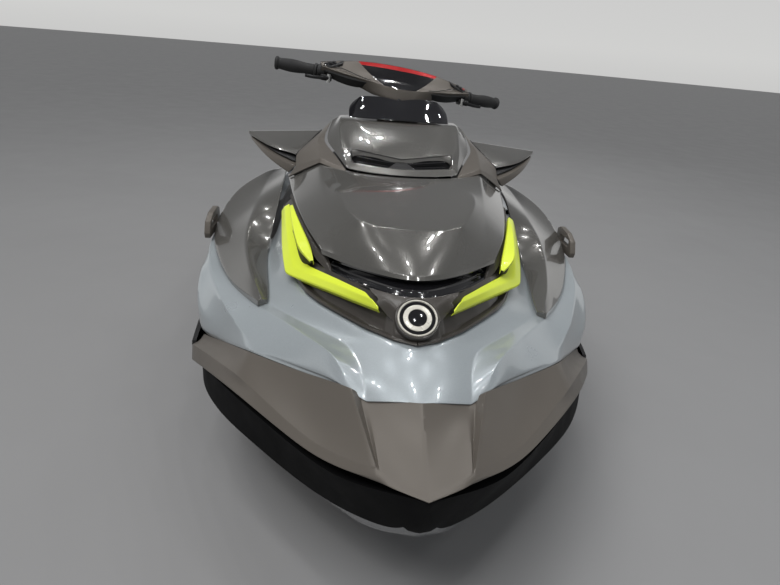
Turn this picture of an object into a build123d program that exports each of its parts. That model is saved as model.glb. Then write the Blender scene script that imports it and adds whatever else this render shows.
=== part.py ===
from build123d import *
import os
from math import sin, cos, radians

os.makedirs("parts", exist_ok=True)

# ---------------------------------------------------------------------------
# Personal watercraft.  Working coordinates: x forward from the transom, y to
# port, z up from the keel, in mm.  The stored frame has its origin on the
# centre line at the waterline, below the driver's seat.
# ---------------------------------------------------------------------------
ORIGIN_X = 1350.0          # stored origin, forward of the transom
WATERLINE = 280.0          # laden waterline above the keel
LENGTH = 3442.0            # transom to the tip of the bow
HALF_BEAM = 613.0          # bond line half width, the rub rail adds 13
PANEL = 14.0               # thickness of the body panels
GAP = 1.0                  # gap between neighbouring panels

# steering
PIVOT = (2090.0, 0.0, 894.0)
LEAN = 28.0                # the steering axis leans back by this angle
BAR_TURN = 13.0            # bars stand turned to port by this angle
NOZZLE_RATIO = -0.8        # nozzle turns the other way, 0.8 of the bars
# pump
PUMP_Z = 110.0
PUMP_R = 82.0              # inner radius of the pump housing
IMPELLER_R = 77.0
NOZZLE_X = 200.0           # trim and steering axes of the nozzle
BUCKET_X = 245.0           # reverse bucket pivot
TRANSOM_STEP = (-20.0, 118.0)   # x and z of the boarding step's hinge
LID_HINGE = (2449.0, 846.0)     # x and z of the front lid's hinge
GLOVE_HINGE = (1982.0, 752.0)   # x and z of the glovebox lid's hinge

parts = {}


# ---------------------------------------------------------------------------
# builders: closed solids with flat faces
# ---------------------------------------------------------------------------
def flat(p):
    a, b, c, d = [Vector(*q) for q in p]
    n = (b - a).cross(c - a)
    return n.length > 1e-6 and abs(n.normalized().dot(d - a)) < 1e-4


def poly(points):
    return Face(Wire.make_polygon([Vector(*p) for p in points], close=True))


def area(p):
    s = Vector(0, 0, 0)
    for i in range(1, len(p) - 1):
        s += (Vector(*p[i]) - Vector(*p[0])).cross(Vector(*p[i + 1]) - Vector(*p[0]))
    return s.length


def quad(p):
    """faces of a four-sided patch, one if it is flat, two if it is not"""
    p = [q for i, q in enumerate(p) if q != p[i - 1]]
    if len(p) < 3 or area(p) < 1e-3:
        return []
    if len(p) == 3 or flat(p):
        return [poly(p)]
    out = []
    for t in ((p[0], p[1], p[2]), (p[0], p[2], p[3])):
        if area(t) > 1e-3:
            out.append(poly(t))
    return out


def closed(faces):
    s = Solid(Shell(faces))
    return s if s.volume > 0 else Solid(Shell([f for f in faces])).fix()


def rings(sections):
    """solid through closed rings with equal point counts; flat end caps"""
    f = [poly(sections[0]), poly(sections[-1])]
    for a, b in zip(sections, sections[1:]):
        n = len(a)
        for i in range(n):
            j = (i + 1) % n
            f += quad([a[i], a[j], b[j], b[i]])
    return closed(f)


def both(row):
    """a row of port-side points from the centre line outwards, made whole"""
    return [(x, -y, z) for x, y, z in reversed(row) if y > 0.01] + list(row)


def slab(grid, t, d=(0, 0, -1)):
    """plate under a net of points, t thick along d"""
    low = [[(x + d[0] * t, y + d[1] * t, z + d[2] * t) for x, y, z in r] for r in grid]
    f = []
    m, n = len(grid), len(grid[0])
    for i in range(m - 1):
        for j in range(n - 1):
            for g in (grid, low):
                f += quad([g[i][j], g[i][j + 1], g[i + 1][j + 1], g[i + 1][j]])
    rim = [(0, j) for j in range(n)] + [(i, n - 1) for i in range(1, m)]
    rim += [(m - 1, j) for j in range(n - 2, -1, -1)] + [(i, 0) for i in range(m - 2, 0, -1)]
    for (a, b), (c, e) in zip(rim, rim[1:] + rim[:1]):
        f += quad([grid[a][b], grid[c][e], low[c][e], low[a][b]])
    return closed(f)


def wedge(points):
    """smallest convex solid round a few points in general position"""
    v = [Vector(*p) for p in points]
    f = []
    n = len(v)
    for i in range(n):
        for j in range(i + 1, n):
            for k in range(j + 1, n):
                m = (v[j] - v[i]).cross(v[k] - v[i])
                if m.length < 1e-6:
                    continue
                m = m.normalized()
                s = [m.dot(v[q] - v[i]) for q in range(n) if q not in (i, j, k)]
                if all(a > 1e-7 for a in s) or all(a < -1e-7 for a in s):
                    f.append(poly([points[i], points[j], points[k]]))
    return closed(f)


def box(x0, x1, y0, y1, z0, z1):
    return Pos((x0 + x1) / 2, (y0 + y1) / 2, (z0 + z1) / 2) * Box(abs(x1 - x0), abs(y1 - y0), abs(z1 - z0))


def rod(a, b, r):
    """round bar from a to b"""
    a, b = Vector(*a), Vector(*b)
    return extrude(Plane(origin=a, z_dir=(b - a).normalized()) * Circle(r), (b - a).length)


def across(profile, half):
    """plate with an x-z outline, from -half to half in y"""
    pl = Plane(origin=(0, half, 0), x_dir=(1, 0, 0), z_dir=(0, -1, 0))
    return extrude(pl * make_face(Polyline(*[(x, z) for x, z in profile], close=True)), 2 * half)


def port_starboard(shape):
    return [shape, mirror(shape, about=Plane.XZ)]


def solid(shape):
    s = shape.solids()
    return s[0] if len(s) == 1 else Compound(list(s))


# ---------------------------------------------------------------------------
# hull, from keel to bond line
# ---------------------------------------------------------------------------
#        x   keel_z  chine_y, z   band_y, z    rail_y, z
HULL = [
    (   0,    22,   430, 165,   496, 205,   540, 280),
    ( 300,     8,   445, 160,   516, 200,   572, 284),
    (1000,     0,   455, 158,   538, 200,   604, 295),
    (1800,     0,   452, 165,   546, 205, HALF_BEAM, 312),
    (2300,     8,   425, 180,   540, 210,   610, 335),
    (2754,    50,   352, 190,   590, 284,   600, 347),
    (2955,   102,   300, 205,   474, 298,   480, 388),
    (3090,   146,   240, 226,   388, 330,   396, 424),
    (3245,   206,   158, 240,   206, 290,   266, 430),
    (3340,   270,    78, 288,    94, 314,   176, 436),
    (3400,   328,    14, 336,    24, 344,    92, 460),
    (3440,   462,     4, 464,     7, 467,    10, 478),
]


def hull_ring(r):
    x, kz, cy, cz, by, bz, ry, rz = r
    half = [(x, 0.36 * cy, kz + 0.32 * (cz - kz)), (x, cy, cz), (x, by, bz), (x, ry, rz)]
    return [(x, 0, kz)] + half + [(a, -b, c) for a, b, c in reversed(half)]


def rail_z(x):
    for a, b in zip(HULL, HULL[1:]):
        if a[0] <= x <= b[0]:
            return a[7] + (b[7] - a[7]) * (x - a[0]) / (b[0] - a[0])
    return HULL[0][7] if x < HULL[0][0] else HULL[-1][7]


def rail_y(x):
    for a, b in zip(HULL, HULL[1:]):
        if a[0] <= x <= b[0]:
            return a[6] + (b[6] - a[6]) * (x - a[0]) / (b[0] - a[0])
    return HULL[0][6] if x < HULL[0][0] else HULL[-1][6]


def below(lift=0.0):
    """everything under the bond line, for cutting what stands on the hull"""
    p = [(-200, HULL[0][7] + lift)] + [(r[0], r[7] + lift) for r in HULL] + [(3700, HULL[-1][7] + lift), (3700, -300), (-200, -300)]
    return across(p, 900)


hull = rings([hull_ring(r) for r in HULL])
hull -= box(-5, 512, -142, 142, -60, 268)                                   # pump tunnel
hull -= across([(511, 196), (620, 150), (990, 14), (990, -20), (640, -20), (511, 30)], 78)   # intake duct
hull -= rod((600, 0, PUMP_Z), (1101, 0, PUMP_Z), 18)                        # drive shaft bore
hull -= box(1100, 1800, -155, 155, 75, 400)                                 # engine bay
parts["hull"] = solid(hull)
parts["engine"] = box(1120, 1780, -150, 150, 75, 480)

under = below()

# ---------------------------------------------------------------------------
# bow bumper and front deck
# ---------------------------------------------------------------------------
#        top seam             lower edge
BUMPER = [
    ((3265,   0, 558), (3442,   0)),
    ((3212, 107, 533), (3397,  98)),
    ((3200, 150, 546), (3350, 168)),
    ((3097, 258, 514), (3245, 270)),
    ((2991, 392, 498), (3090, 402)),
    ((2712, 573, 383), (2760, 604)),
]


def bumper_ring(k):
    t, (bx, by) = k
    z = rail_z(bx)
    return [t, (bx, by, z + 22), (bx, by, z - 30), (t[0], t[1], z - 60)]


half_b = [bumper_ring(k) for k in BUMPER]
whole_b = [[(x, -y, z) for x, y, z in r] for r in reversed(half_b[1:])] + half_b
bumper = rings(whole_b) - under
parts["bow_bumper"] = solid(bumper)

# front deck: rings of points from the bumper seam inwards; columns run from
# the bow centre line outwards and aft.
#    seam             side              ridge             panel edge        valley            foot              plateau
DECK = [
    ((3263,   0, 558), (3214,   0, 574), (3165,   0, 590), (3140,   0, 598), (3128,   0, 604), (3116,   0, 600), (2990,   0, 570)),
    ((3210, 106, 533), (3176, 107, 551), (3142, 108, 570), (3120, 102, 582), (3100,  96, 592), (3060,  70, 598), (2970,  60, 570)),
    ((3198, 149, 546), (3166, 166, 566), (3135, 184, 585), (3110, 160, 583), (3085, 130, 586), (3010, 118, 598), (2945, 100, 570)),
    ((3095, 257, 514), (3040, 274, 542), (2985, 290, 571), (2970, 284, 569), (2945, 262, 574), (2905, 222, 596), (2860, 180, 570)),
    ((2989, 391, 498), (2960, 398, 502), (2930, 410, 508), (2841, 393, 551), (2830, 372, 550), (2796, 328, 596), (2760, 280, 575)),
    ((2851, 480, 440), (2845, 482, 485), (2836, 474, 528), (2756, 446, 540), (2745, 376, 552), (2720, 346, 606), (2680, 300, 590)),
    ((2711, 571, 383), (2700, 592, 456), (2695, 536, 531), (2675, 500, 538), (2640, 396, 556), (2640, 362, 632), (2600, 310, 600)),
    ((2600, 600, 340), (2590, 610, 460), (2569, 588, 553), (2547, 547, 542), (2530, 412, 566), (2520, 374, 662), (2500, 320, 620)),
    ((2350, 606, 340), (2350, 618, 470), (2365, 615, 562), (2358, 600, 570), (2390, 412, 590), (2400, 386, 690), (2400, 330, 640)),
    ((2225, 610, 334), (2225, 617, 478), (2225, 613, 606), (2225, 600, 622), (2225, 422, 596), (2225, 386, 716), (2225, 335, 640)),
    ((2034, 609, 322), (2034, 616, 480), (2034, 602, 622), (2034, 580, 638), (2034, 430, 610), (2034, 392, 700), (2034, 340, 640)),
]


def skirted(rows, drop):
    """solid under a net of port-side points and its mirror image; its foot is
    spread evenly between the outer and the inner ring"""
    f = []
    m = len(rows[0]) - 1

    def foot(r, i, s):
        a, b = r[0], r[-1]
        return (a[0] + (b[0] - a[0]) * i / m, s * (a[1] + (b[1] - a[1]) * i / m), drop)

    def top(r, i, s):
        return (r[i][0], s * r[i][1], r[i][2])

    for s in (1, -1):
        for a, b in zip(rows, rows[1:]):
            for i in range(m):
                f += quad([top(a, i, s), top(a, i + 1, s), top(b, i + 1, s), top(b, i, s)])
                f += quad([foot(a, i, s), foot(a, i + 1, s), foot(b, i + 1, s), foot(b, i, s)])
            f += quad([top(a, 0, s), top(b, 0, s), foot(b, 0, s), foot(a, 0, s)])   # outer side
        e = rows[-1]
        for i in range(m):                                                          # aft end
            f += quad([top(e, i, s), top(e, i + 1, s), foot(e, i + 1, s), foot(e, i, s)])
    for a, b in zip(rows, rows[1:]):                                                # centre strip
        f += quad([top(a, m, 1), top(b, m, 1), top(b, m, -1), top(a, m, -1)])
        f += quad([foot(a, m, 1), foot(b, m, 1), foot(b, m, -1), foot(a, m, -1)])
    e = rows[-1]
    f += quad([top(e, m, 1), top(e, m, -1), foot(e, m, -1), foot(e, m, 1)])
    return closed(f)


BIN = (2170.0, 2426.0, 140.0, 352.0, 798.0)        # neck of the storage bin: x0, x1, half width, z0, z1
BELLY = (2420.0, 2720.0, 600.0)                    # its forward part: x0, x1, top
deck = skirted(DECK, 250) - under
deck -= box(BIN[0] - 1, BELLY[1] + 1, -BIN[2] - 1, BIN[2] + 1, BIN[3] - 1, BELLY[2] + 100)
parts["bow_deck"] = solid(deck)

neck = box(BIN[0], BIN[1], -BIN[2], BIN[2], BIN[3], BIN[4])
belly = box(BELLY[0], BELLY[1], -BIN[2], BIN[2], BIN[3], BELLY[2])
W = 4.0
bin_ = neck + belly - box(BIN[0] + W, BIN[1] - W, -BIN[2] + W, BIN[2] - W, BIN[3] + W, BIN[4] + 5)
bin_ -= box(BELLY[0] - 40, BELLY[1] - W, -BIN[2] + W, BIN[2] - W, BIN[3] + W, BELLY[2] - W)
parts["storage_bin"] = solid(bin_)

# the deck's plateau is above the belly's top only near the bow, so its roof is the fascia's bed

# ---------------------------------------------------------------------------
# nose trim: fascia, badge, grille, hood, accents, side panels
# ---------------------------------------------------------------------------
#           outer edge        inner edge
FASCIA = [
    ((3116,   0, 606), (3022,   0, 679)),
    ((3098,  48, 606), (3008,  48, 678)),
    ((2960, 165, 606), (2920, 150, 670)),
    ((2870, 252, 606), (2845, 215, 664)),
    ((2798, 322, 606), (2775, 264, 664)),
    ((2640, 350, 646), (2620, 300, 690)),
    ((2440, 370, 706), (2440, 340, 735)),
]
fas = slab([both([k[0] for k in FASCIA]), both([k[1] for k in FASCIA])], PANEL - 4)
BADGE_N = (0.6, 0.0, 0.8)
bc = Vector(3069, 0, 643)
badge_face = Plane(origin=bc + Vector(*BADGE_N) * 6, z_dir=BADGE_N)
badge = extrude(badge_face * Circle(46), -22)
fas -= extrude(badge_face * Circle(46.4), -60)
fas -= extrude(badge_face * Circle(46.4), 30)
fas = max((fas - deck).solids(), key=lambda s: s.volume)
parts["fascia"] = fas
parts["badge"] = solid(badge)

GRILLE = [
    ((3015,   0, 675), (2972,   0, 688)),
    ((3000,  48, 674), (2958,  46, 687)),
    ((2913, 150, 665), (2878, 140, 679)),
    ((2838, 211, 659), (2812, 196, 672)),
]
parts["grille"] = slab([both([k[0] for k in GRILLE]), both([k[1] for k in GRILLE])], 10)

# hood net: front edge to rear edge, centre line to side edge
HOOD = [
    [(3000, 0, 708), (2957, 80, 704), (2895, 150, 697), (2822, 200, 689), (2757, 237, 682)],
    [(2850, 0, 748), (2835, 88, 745), (2798, 150, 735), (2742, 212, 716), (2680, 258, 693)],
    [(2650, 0, 793), (2640, 100, 790), (2612, 165, 781), (2560, 238, 762), (2480, 312, 724)],
    [(2452, 0, 826), (2449, 110, 829), (2441, 176, 834), (2378, 262, 844), (2240, 379, 766)],
]
parts["hood"] = slab([both(r) for r in HOOD], PANEL)

# accents: outer edge, inner edge, from the tip to the corner and up
ACCENT = [
    ((3048,  88, 654), (2982, 113, 674)),
    ((2905, 214, 636), (2862, 200, 672)),
    ((2772, 330, 622), (2748, 286, 672)),
    ((2640, 352, 664), (2640, 322, 700)),
    ((2487, 371, 712), (2487, 347, 738)),
]
acc = slab([[k[0] for k in ACCENT], [k[1] for k in ACCENT]], 9)
parts["accents"] = [max((q - fas).solids(), key=lambda s: s.volume) for q in port_starboard(acc)]

# side panels: outer edge, ridge, inner edge, from the tip aft
SIDE = [
    ((2845, 392, 567), (2841, 380, 571), (2838, 367, 567)),
    ((2756, 446, 558), (2720, 430, 583), (2750, 378, 570)),
    ((2675, 501, 556), (2630, 455, 597), (2640, 396, 576)),
    ((2547, 548, 560), (2500, 482, 618), (2530, 411, 586)),
    ((2445, 582, 572), (2412, 494, 642), (2450, 404, 638)),
    ((2358, 604, 590), (2340, 474, 672), (2379, 395, 690)),
    ((2290, 598, 620), (2290, 450, 704), (2299, 388, 744)),
    ((2195, 592, 652), (2180, 446, 750), (2165, 392, 748)),
    ((2062, 588, 664), (2062, 446, 742), (2062, 398, 738)),
]
pan = slab([[k[i] for k in SIDE] for i in range(3)], PANEL)
parts["side_panels"] = [max((q - deck).solids(), key=lambda s: s.volume) for q in port_starboard(pan)]

# ---------------------------------------------------------------------------
# console, steering mount and front lid
# ---------------------------------------------------------------------------
#         x    bottom half width, top half width, top
CONSOLE_AFT = [(1812, 198, 112, 716), (1985, 200, 118, 740), (2032, 210, 150, 800)]
CONSOLE_FWD = [(2032, 300, 150, 800), (2062, 310, 155, 838), (2160, 330, 160, 845), (2440, 300, 160, 796)]
con = rings([[(x, wb, 250), (x, wt, zt), (x, -wt, zt), (x, -wb, 250)] for x, wb, wt, zt in CONSOLE_AFT]) - under
con = con + rings([[(x, wb, 641), (x, wt, zt), (x, -wt, zt), (x, -wb, 641)] for x, wb, wt, zt in CONSOLE_FWD])
con -= box(BIN[0] - 1, BIN[1] + 1, -BIN[2] - 1, BIN[2] + 1, 500, 900)
GLOVE = (1838.0, 1962.0, 80.0, 585.0)               # glovebox cavity: x0, x1, half width, floor
con -= box(GLOVE[0], GLOVE[1], -GLOVE[2], GLOVE[2], GLOVE[3], 900)
A = Vector(-sin(radians(LEAN)), 0, cos(radians(LEAN)))
P0 = Vector(*PIVOT)


def along(t):
    p = P0 + A * t
    return (p.X, p.Y, p.Z)


mount = rod(along(-66), along(0), 34) - rod(along(-52), along(1), 10.06)
con -= rod(along(-200), along(0), 34.0)
con = max(con.solids(), key=lambda s: s.volume)
parts["console"] = con
parts["steering_mount"] = solid(mount - con)

lid_top = [(1816, 112, 722), (1985, 116, 746)]
g = slab([[(x, -w, z) for x, w, z in lid_top[:1]] + [(x, w, z) for x, w, z in lid_top[:1]],
          [(x, -w, z) for x, w, z in lid_top[1:]] + [(x, w, z) for x, w, z in lid_top[1:]]], 5)
parts["glovebox_lid"] = g

# lid net: front edge to rear edge, centre line to side edge
LID = [
    [(2440, 0, 834), (2436, 110, 837), (2430, 172, 842), (2430, 172, 842), (2430, 172, 842)],
    [(2416, 0, 852), (2414, 110, 854), (2404, 168, 858), (2396, 179, 854), (2388, 188, 851)],
    [(2352, 0, 884), (2350, 110, 886), (2344, 168, 890), (2331, 193, 883), (2317, 216, 868)],
    [(2185, 0, 961), (2180, 110, 962), (2156, 178, 961), (2150, 207, 958), (2214, 256, 892)],
    [(2112, 0, 962), (2112, 110, 962), (2100, 178, 962), (2098, 205, 958), (2124, 234, 942)],
]
lid = slab([both(r) for r in LID], PANEL)
lid -= box(2358, 2406, -155, 155, 780, 960)
parts["front_cowl"] = solid(lid)
parts["vent_grille"] = slab([[(2404, -153, 848), (2404, 153, 848)], [(2360, -153, 869), (2360, 153, 869)]], 8)

# shoulders beside the lid, which carry the mirrors: lid edge, ridge, outer edge
SHOULDER = [
    [(2119, 240, 938), (2112, 256, 922), (2104, 270, 903)],
    [(2212, 262, 889), (2193, 281, 887), (2168, 311, 872)],
    [(2318, 222, 865), (2296, 271, 872), (2235, 351, 838)],
    [(2434, 178, 838), (2384, 259, 856), (2298, 347, 808)],
    [(2438, 180, 833), (2388, 262, 849), (2281, 374, 781)],
]
sh = slab(SHOULDER, PANEL - 2, (-0.5, 0.1, -0.86))


def glass_x(y):
    """rear plane of the port mirror"""
    return 2104 - 0.3007 * (y - 272)


#      cap with its core, then the lip under the slot
MIRROR_CAP = [(2104, 272, 903), (2022.8, 545, 871), (2023.2, 538, 856), (2097, 300, 822), (2236, 352, 837), (2101, 499, 845), (2222, 350, 812)]
MIRROR_LIP = [(2297, 348, 806), (2276, 374, 778), (2176, 452, 808), (2030, 541, 856), (2106, 496, 838), (2238, 356, 830), (2100, 310, 806), (2046, 470, 828)]
mir = wedge(MIRROR_CAP) + wedge(MIRROR_LIP)
glass = [(glass_x(y) - 1.2, y, z) for y, z in ((306, 891), (516, 868), (508, 858), (318, 842))]
mg = rings([glass, [(x - 3.8, y - 1.1, z) for x, y, z in glass]])
parts["cowl_shoulders"] = []
parts["mirrors"] = []
for q, m in zip(port_starboard(sh), port_starboard(solid(mir))):
    q = max((q - parts["hood"]).solids(), key=lambda v: v.volume)
    parts["cowl_shoulders"].append(q)
    parts["mirrors"].append(max((m - q - parts["hood"]).solids(), key=lambda v: v.volume))
parts["mirror_glass"] = port_starboard(solid(mg))

# windscreen net: base to top, centre line to side edge
WS = [
    [(2178, 0, 969), (2174, 90, 969), (2166, 140, 968), (2153, 175, 967)],
    [(2138, 0, 992), (2130, 90, 996), (2115, 145, 994), (2088, 181, 987)],
    [(2100, 0, 1012), (2096, 85, 1018), (2082, 142, 1014), (2062, 174, 1002)],
    [(2082, 0, 1022), (2074, 75, 1032), (2070, 122, 1028), (2054, 152, 1012)],
]
parts["windscreen"] = slab([both(r) for r in WS], 5, (-0.55, 0, -0.835))
parts["display"] = Pos(2092, 0, 977) * Rot(0, 38, 0) * Box(14, 150, 32)

# ---------------------------------------------------------------------------
# handlebar, built straight and then turned
# ---------------------------------------------------------------------------
turn = Axis(PIVOT, (A.X, A.Y, A.Z))
BAR = [(1928, 437), (1990, 195), (2008, 80)]
BAR_Z = [1066, 1068, 1050]
path = FilletPolyline(*([(x, -y, z) for (x, y), z in zip(BAR, BAR_Z)] + [(x, y, z) for (x, y), z in reversed(list(zip(BAR, BAR_Z)))]), radius=45)
bar = sweep(Plane(origin=path @ 0, z_dir=path % 0) * Circle(11), path=path)
bar += rod(along(6), along(170), 19) + rod(along(-50), along(8), 10)
bar_d = (Vector(1990, 195, 1068) - Vector(1928, 437, 1066)).normalized()
end = Vector(1928, 437, 1066)
grip = []
pod = []
for s in (1, -1):
    d = Vector(bar_d.X, bar_d.Y * s, bar_d.Z)
    e = Vector(end.X, end.Y * s, end.Z)
    a, b = e - d * 8, e + d * 125
    gr = extrude(Plane(origin=a, z_dir=d) * Circle(17), 133) + extrude(Plane(origin=a, z_dir=d) * Circle(24), 8) + extrude(Plane(origin=b, z_dir=d) * Circle(24), 6)
    gr -= extrude(Plane(origin=e, z_dir=d) * Circle(11), 200)
    grip.append(solid(gr))
# cover: outline in x and z at steps of y
COVER = [
    (  0, [(1998, 1016), (2030, 1058), (1964, 1132), (1930, 1112), (1950, 1030)]),
    (120, [(1996, 1022), (2026, 1064), (1964, 1130), (1932, 1108), (1952, 1034)]),
    (200, [(2000, 1036), (2018, 1070), (1966, 1116), (1938, 1098), (1956, 1040)]),
    (290, [(1992, 1058), (1996, 1082), (1962, 1098), (1946, 1084), (1954, 1060)]),
]
sec = [[(x, -y, z) for x, z in p] for y, p in reversed(COVER[1:])] + [[(x, y, z) for x, z in p] for y, p in COVER]
cover = rings(sec)
cover -= sweep(Plane(origin=path @ 0, z_dir=path % 0) * Circle(12), path=path)
cover -= rod(along(-50), along(182), 21)
cover = max(cover.solids(), key=lambda s: s.volume)
lev = []
for s in (-1, 1):
    lv = rod((2012, 262 * s, 1050), (2003, 345 * s, 1047), 6)
    lev.append(solid(lv))
pods = []
for s in (-1, 1):
    d = Vector(bar_d.X, bar_d.Y * s, bar_d.Z)
    e = Vector(end.X, end.Y * s, end.Z)
    pd = extrude(Plane(origin=e + d * 133, z_dir=d) * Circle(21), 8)
    pd += rod((1976, 291 * s, 1058), (2010, 284 * s, 1052), 9)
    pd -= extrude(Plane(origin=e, z_dir=d) * Circle(11), 300)
    pd -= lev[0 if s < 0 else 1]
    pd -= cover
    pods.append(max(pd.solids(), key=lambda q: q.volume))
for n, sh in (("handlebar", [bar]), ("grips", grip), ("handlebar_cover", [cover]), ("levers", lev), ("switch_pods", pods)):
    parts[n] = [solid(q).rotate(turn, BAR_TURN) for q in sh]

# ---------------------------------------------------------------------------
# gunwales, pedestal, seats, platform, mats
# ---------------------------------------------------------------------------
#       x   side_y,z   shoulder_y,z  inner_y,z   foot_y
GUNWALE = [
    ( 350, 572, 372,  530, 438,  480, 436,  432),
    (1000, 604, 402,  566, 506,  500, 508,  428),
    (1600, 612, 444,  588, 562,  488, 568,  426),
    (2032, 614, 480,  600, 622,  470, 632,  428),
]
rows = []
for x, sy, sz, hy, hz, iy, iz, fy in GUNWALE:
    rows.append([(x, rail_y(x) - 1, rail_z(x) - 40), (x, rail_y(x) - 1, rail_z(x) + 12), (x, sy, sz), (x, hy, hz), (x, iy, iz), (x, fy, rail_z(x) - 40)])
gun = rings(rows) - under
gun_pair = port_starboard(solid(gun))
parts["gunwales"] = gun_pair

#        x   bottom half width, top half width, top
PEDESTAL = [(350, 190, 120, 420), (545, 195, 140, 640), (1040, 205, 155, 690), (1084, 205, 155, 690), (1090, 205, 150, 620), (1808, 198, 118, 600)]
ped = rings([[(x, wb, 250), (x, wt, zt), (x, -wt, zt), (x, -wb, 250)] for x, wb, wt, zt in PEDESTAL]) - under
ped -= box(1100, 1800, -155, 155, 200, 490)
parts["seat_pedestal"] = solid(ped)


def cushion(table, base):
    s = []
    for x, w, zt in table:
        zb = base(x) + 1
        s.append([(x, w - 12, zb), (x, w, zb + 30), (x, w - 14, zt - 18), (x, w * 0.55, zt), (x, -w * 0.55, zt), (x, -w + 14, zt - 18), (x, -w, zb + 30), (x, -w + 12, zb)])
    return rings(s)


def ped_top(x):
    for a, b in zip(PEDESTAL, PEDESTAL[1:]):
        if a[0] <= x <= b[0]:
            return a[3] + (b[3] - a[3]) * (x - a[0]) / (b[0] - a[0])
    return PEDESTAL[-1][3]


#                x   half width, top
SEAT_FRONT = [(1092, 160, 722), (1260, 172, 716), (1450, 165, 714), (1650, 140, 722), (1804, 118, 738)]
SEAT_REAR = [(548, 150, 742), (800, 172, 772), (1040, 176, 802), (1082, 168, 792)]
parts["seat_front"] = cushion(SEAT_FRONT, ped_top)
parts["seat_rear"] = cushion(SEAT_REAR, ped_top)

PLATFORM = [(-14, 500, 322, 336), (30, 534, 272, 345), (345, 573, 272, 345)]
plat = rings([[(x, w, zb), (x, w - 10, zt), (x, -w + 10, zt), (x, -w, zb)] for x, w, zb, zt in PLATFORM]) - below()
plat = solid(plat)
parts["swim_platform"] = plat
mats = [box(30, 335, -470, 470, 345, 351)]
strip = below(7) - under
for s in (1, -1):
    y0, y1 = sorted((212 * s, 418 * s))
    mats.append(solid(box(360, 2028, y0, y1, 100, 600) & strip))
parts["deck_mats"] = mats

# side bumpers on the bond line: x, lower and upper edge about the line
RAIL = [(0, -12, 30), (300, -12, 36), (1000, -14, 52), (1800, -14, 76), (2300, -14, 80), (2600, -10, 66), (2722, 0, 35)]
R = []
for x, dn, up in RAIL:
    y, z = rail_y(x), rail_z(x)
    R.append([(x, y - 20, z + dn), (x, y + 13, z + dn + 5), (x, y + 13, z + up - 8), (x, y - 20, z + up)])
rail = rings(R)
parts["rub_rails"] = []
for k, q in enumerate(port_starboard(rail)):
    q = q - bumper - hull - deck - gun_pair[k] - plat
    parts["rub_rails"].append(max(q.solids(), key=lambda v: v.volume))

# grab handle and tow eye
hp = FilletPolyline((560, -112, 655), (462, -118, 712), (462, 118, 712), (560, 112, 655), radius=40)
gh = sweep(Plane(origin=hp @ 0, z_dir=hp % 0) * Circle(13), path=hp) - ped - parts["seat_rear"]
parts["grab_handle"] = solid(max(gh.solids(), key=lambda s: s.volume))


def eye(x, z):
    """plate with a round hole across it, on a foot"""
    e = across([(x - 26, z - 26), (x + 26, z - 26), (x + 26, z + 14), (x + 14, z + 26), (x - 14, z + 26), (x - 26, z + 14)], 5)
    return e - rod((x, -20, z), (x, 20, z), 11)


te = eye(300, 378) - box(200, 400, -50, 50, 0, 351)
parts["tow_eye"] = solid(te)
be = eye(3180, 162)
be -= parts["hull"]
parts["bow_eye"] = solid(max(be.solids(), key=lambda s: s.volume))

# cleats on the deck edge, sponsons on the hull sides
CLEAT_SLOT = (2300, 2384, 600, 628)       # x0, x1, z0, z1 of the slot for the line
cl = box(2270, 2410, 600, 622, 560, 640) - box(CLEAT_SLOT[0], CLEAT_SLOT[1], 607, 640, CLEAT_SLOT[2], CLEAT_SLOT[3])
parts["cleats"] = port_starboard(max((cl - deck - pan - gun).solids(), key=lambda q: q.volume))
sp = rings([[(x, 545 - d, 203), (x, 600 - d, 240), (x, 606 - d, 232), (x, 566 - d, 196)] for x, d in ((330, 20), (700, 6), (1050, 2))])
sp = sp - hull
parts["sponsons"] = port_starboard(solid(max(sp.solids(), key=lambda s: s.volume)))

# ---------------------------------------------------------------------------
# jet pump
# ---------------------------------------------------------------------------
X = (1, 0, 0)


def tube(x0, x1, ro, ri):
    return rod((x0, 0, PUMP_Z), (x1, 0, PUMP_Z), ro) - rod((x0 - 1, 0, PUMP_Z), (x1 + 1, 0, PUMP_Z), ri)


def turned(profile):
    """solid of revolution about the pump axis from an x-r outline"""
    pl = Plane(origin=(0, 0, PUMP_Z), x_dir=(1, 0, 0), z_dir=(0, -1, 0))
    return revolve(pl * make_face(Polyline(*profile, close=True)), Axis((0, 0, PUMP_Z), (1, 0, 0)))


pump = turned([(188, 42), (188, 47), (236, 47), (300, 88), (500, 88), (500, 100), (512, 100), (512, PUMP_R), (300, PUMP_R), (240, 42)])
stator = turned([(318, 0), (318, 14), (393, 26), (393, 0)])
for i in range(5):
    v = box(326, 390, -2.5, 2.5, PUMP_Z + 10, PUMP_Z + 85)
    stator += v.rotate(Axis((0, 0, PUMP_Z), (1, 0, 0)), i * 72)
pump += stator
for s in (1, -1):
    y0, y1 = sorted((92 * s, 102 * s))
    lug = box(186, 330, y0, y1, PUMP_Z - 18, PUMP_Z + 18)
    y2, y3 = sorted((80 * s, 93 * s))
    lug += box(306, 330, y2, y3, PUMP_Z - 18, PUMP_Z + 18)
    lug -= rod((NOZZLE_X, 80 * s, PUMP_Z), (NOZZLE_X, 120 * s, PUMP_Z), 7.06)
    lug -= rod((BUCKET_X, 80 * s, PUMP_Z), (BUCKET_X, 120 * s, PUMP_Z), 8.06)
    lug -= rod((290, 0, PUMP_Z), (340, 0, PUMP_Z), 84)
    pump += lug
parts["pump_housing"] = solid(pump)

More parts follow.
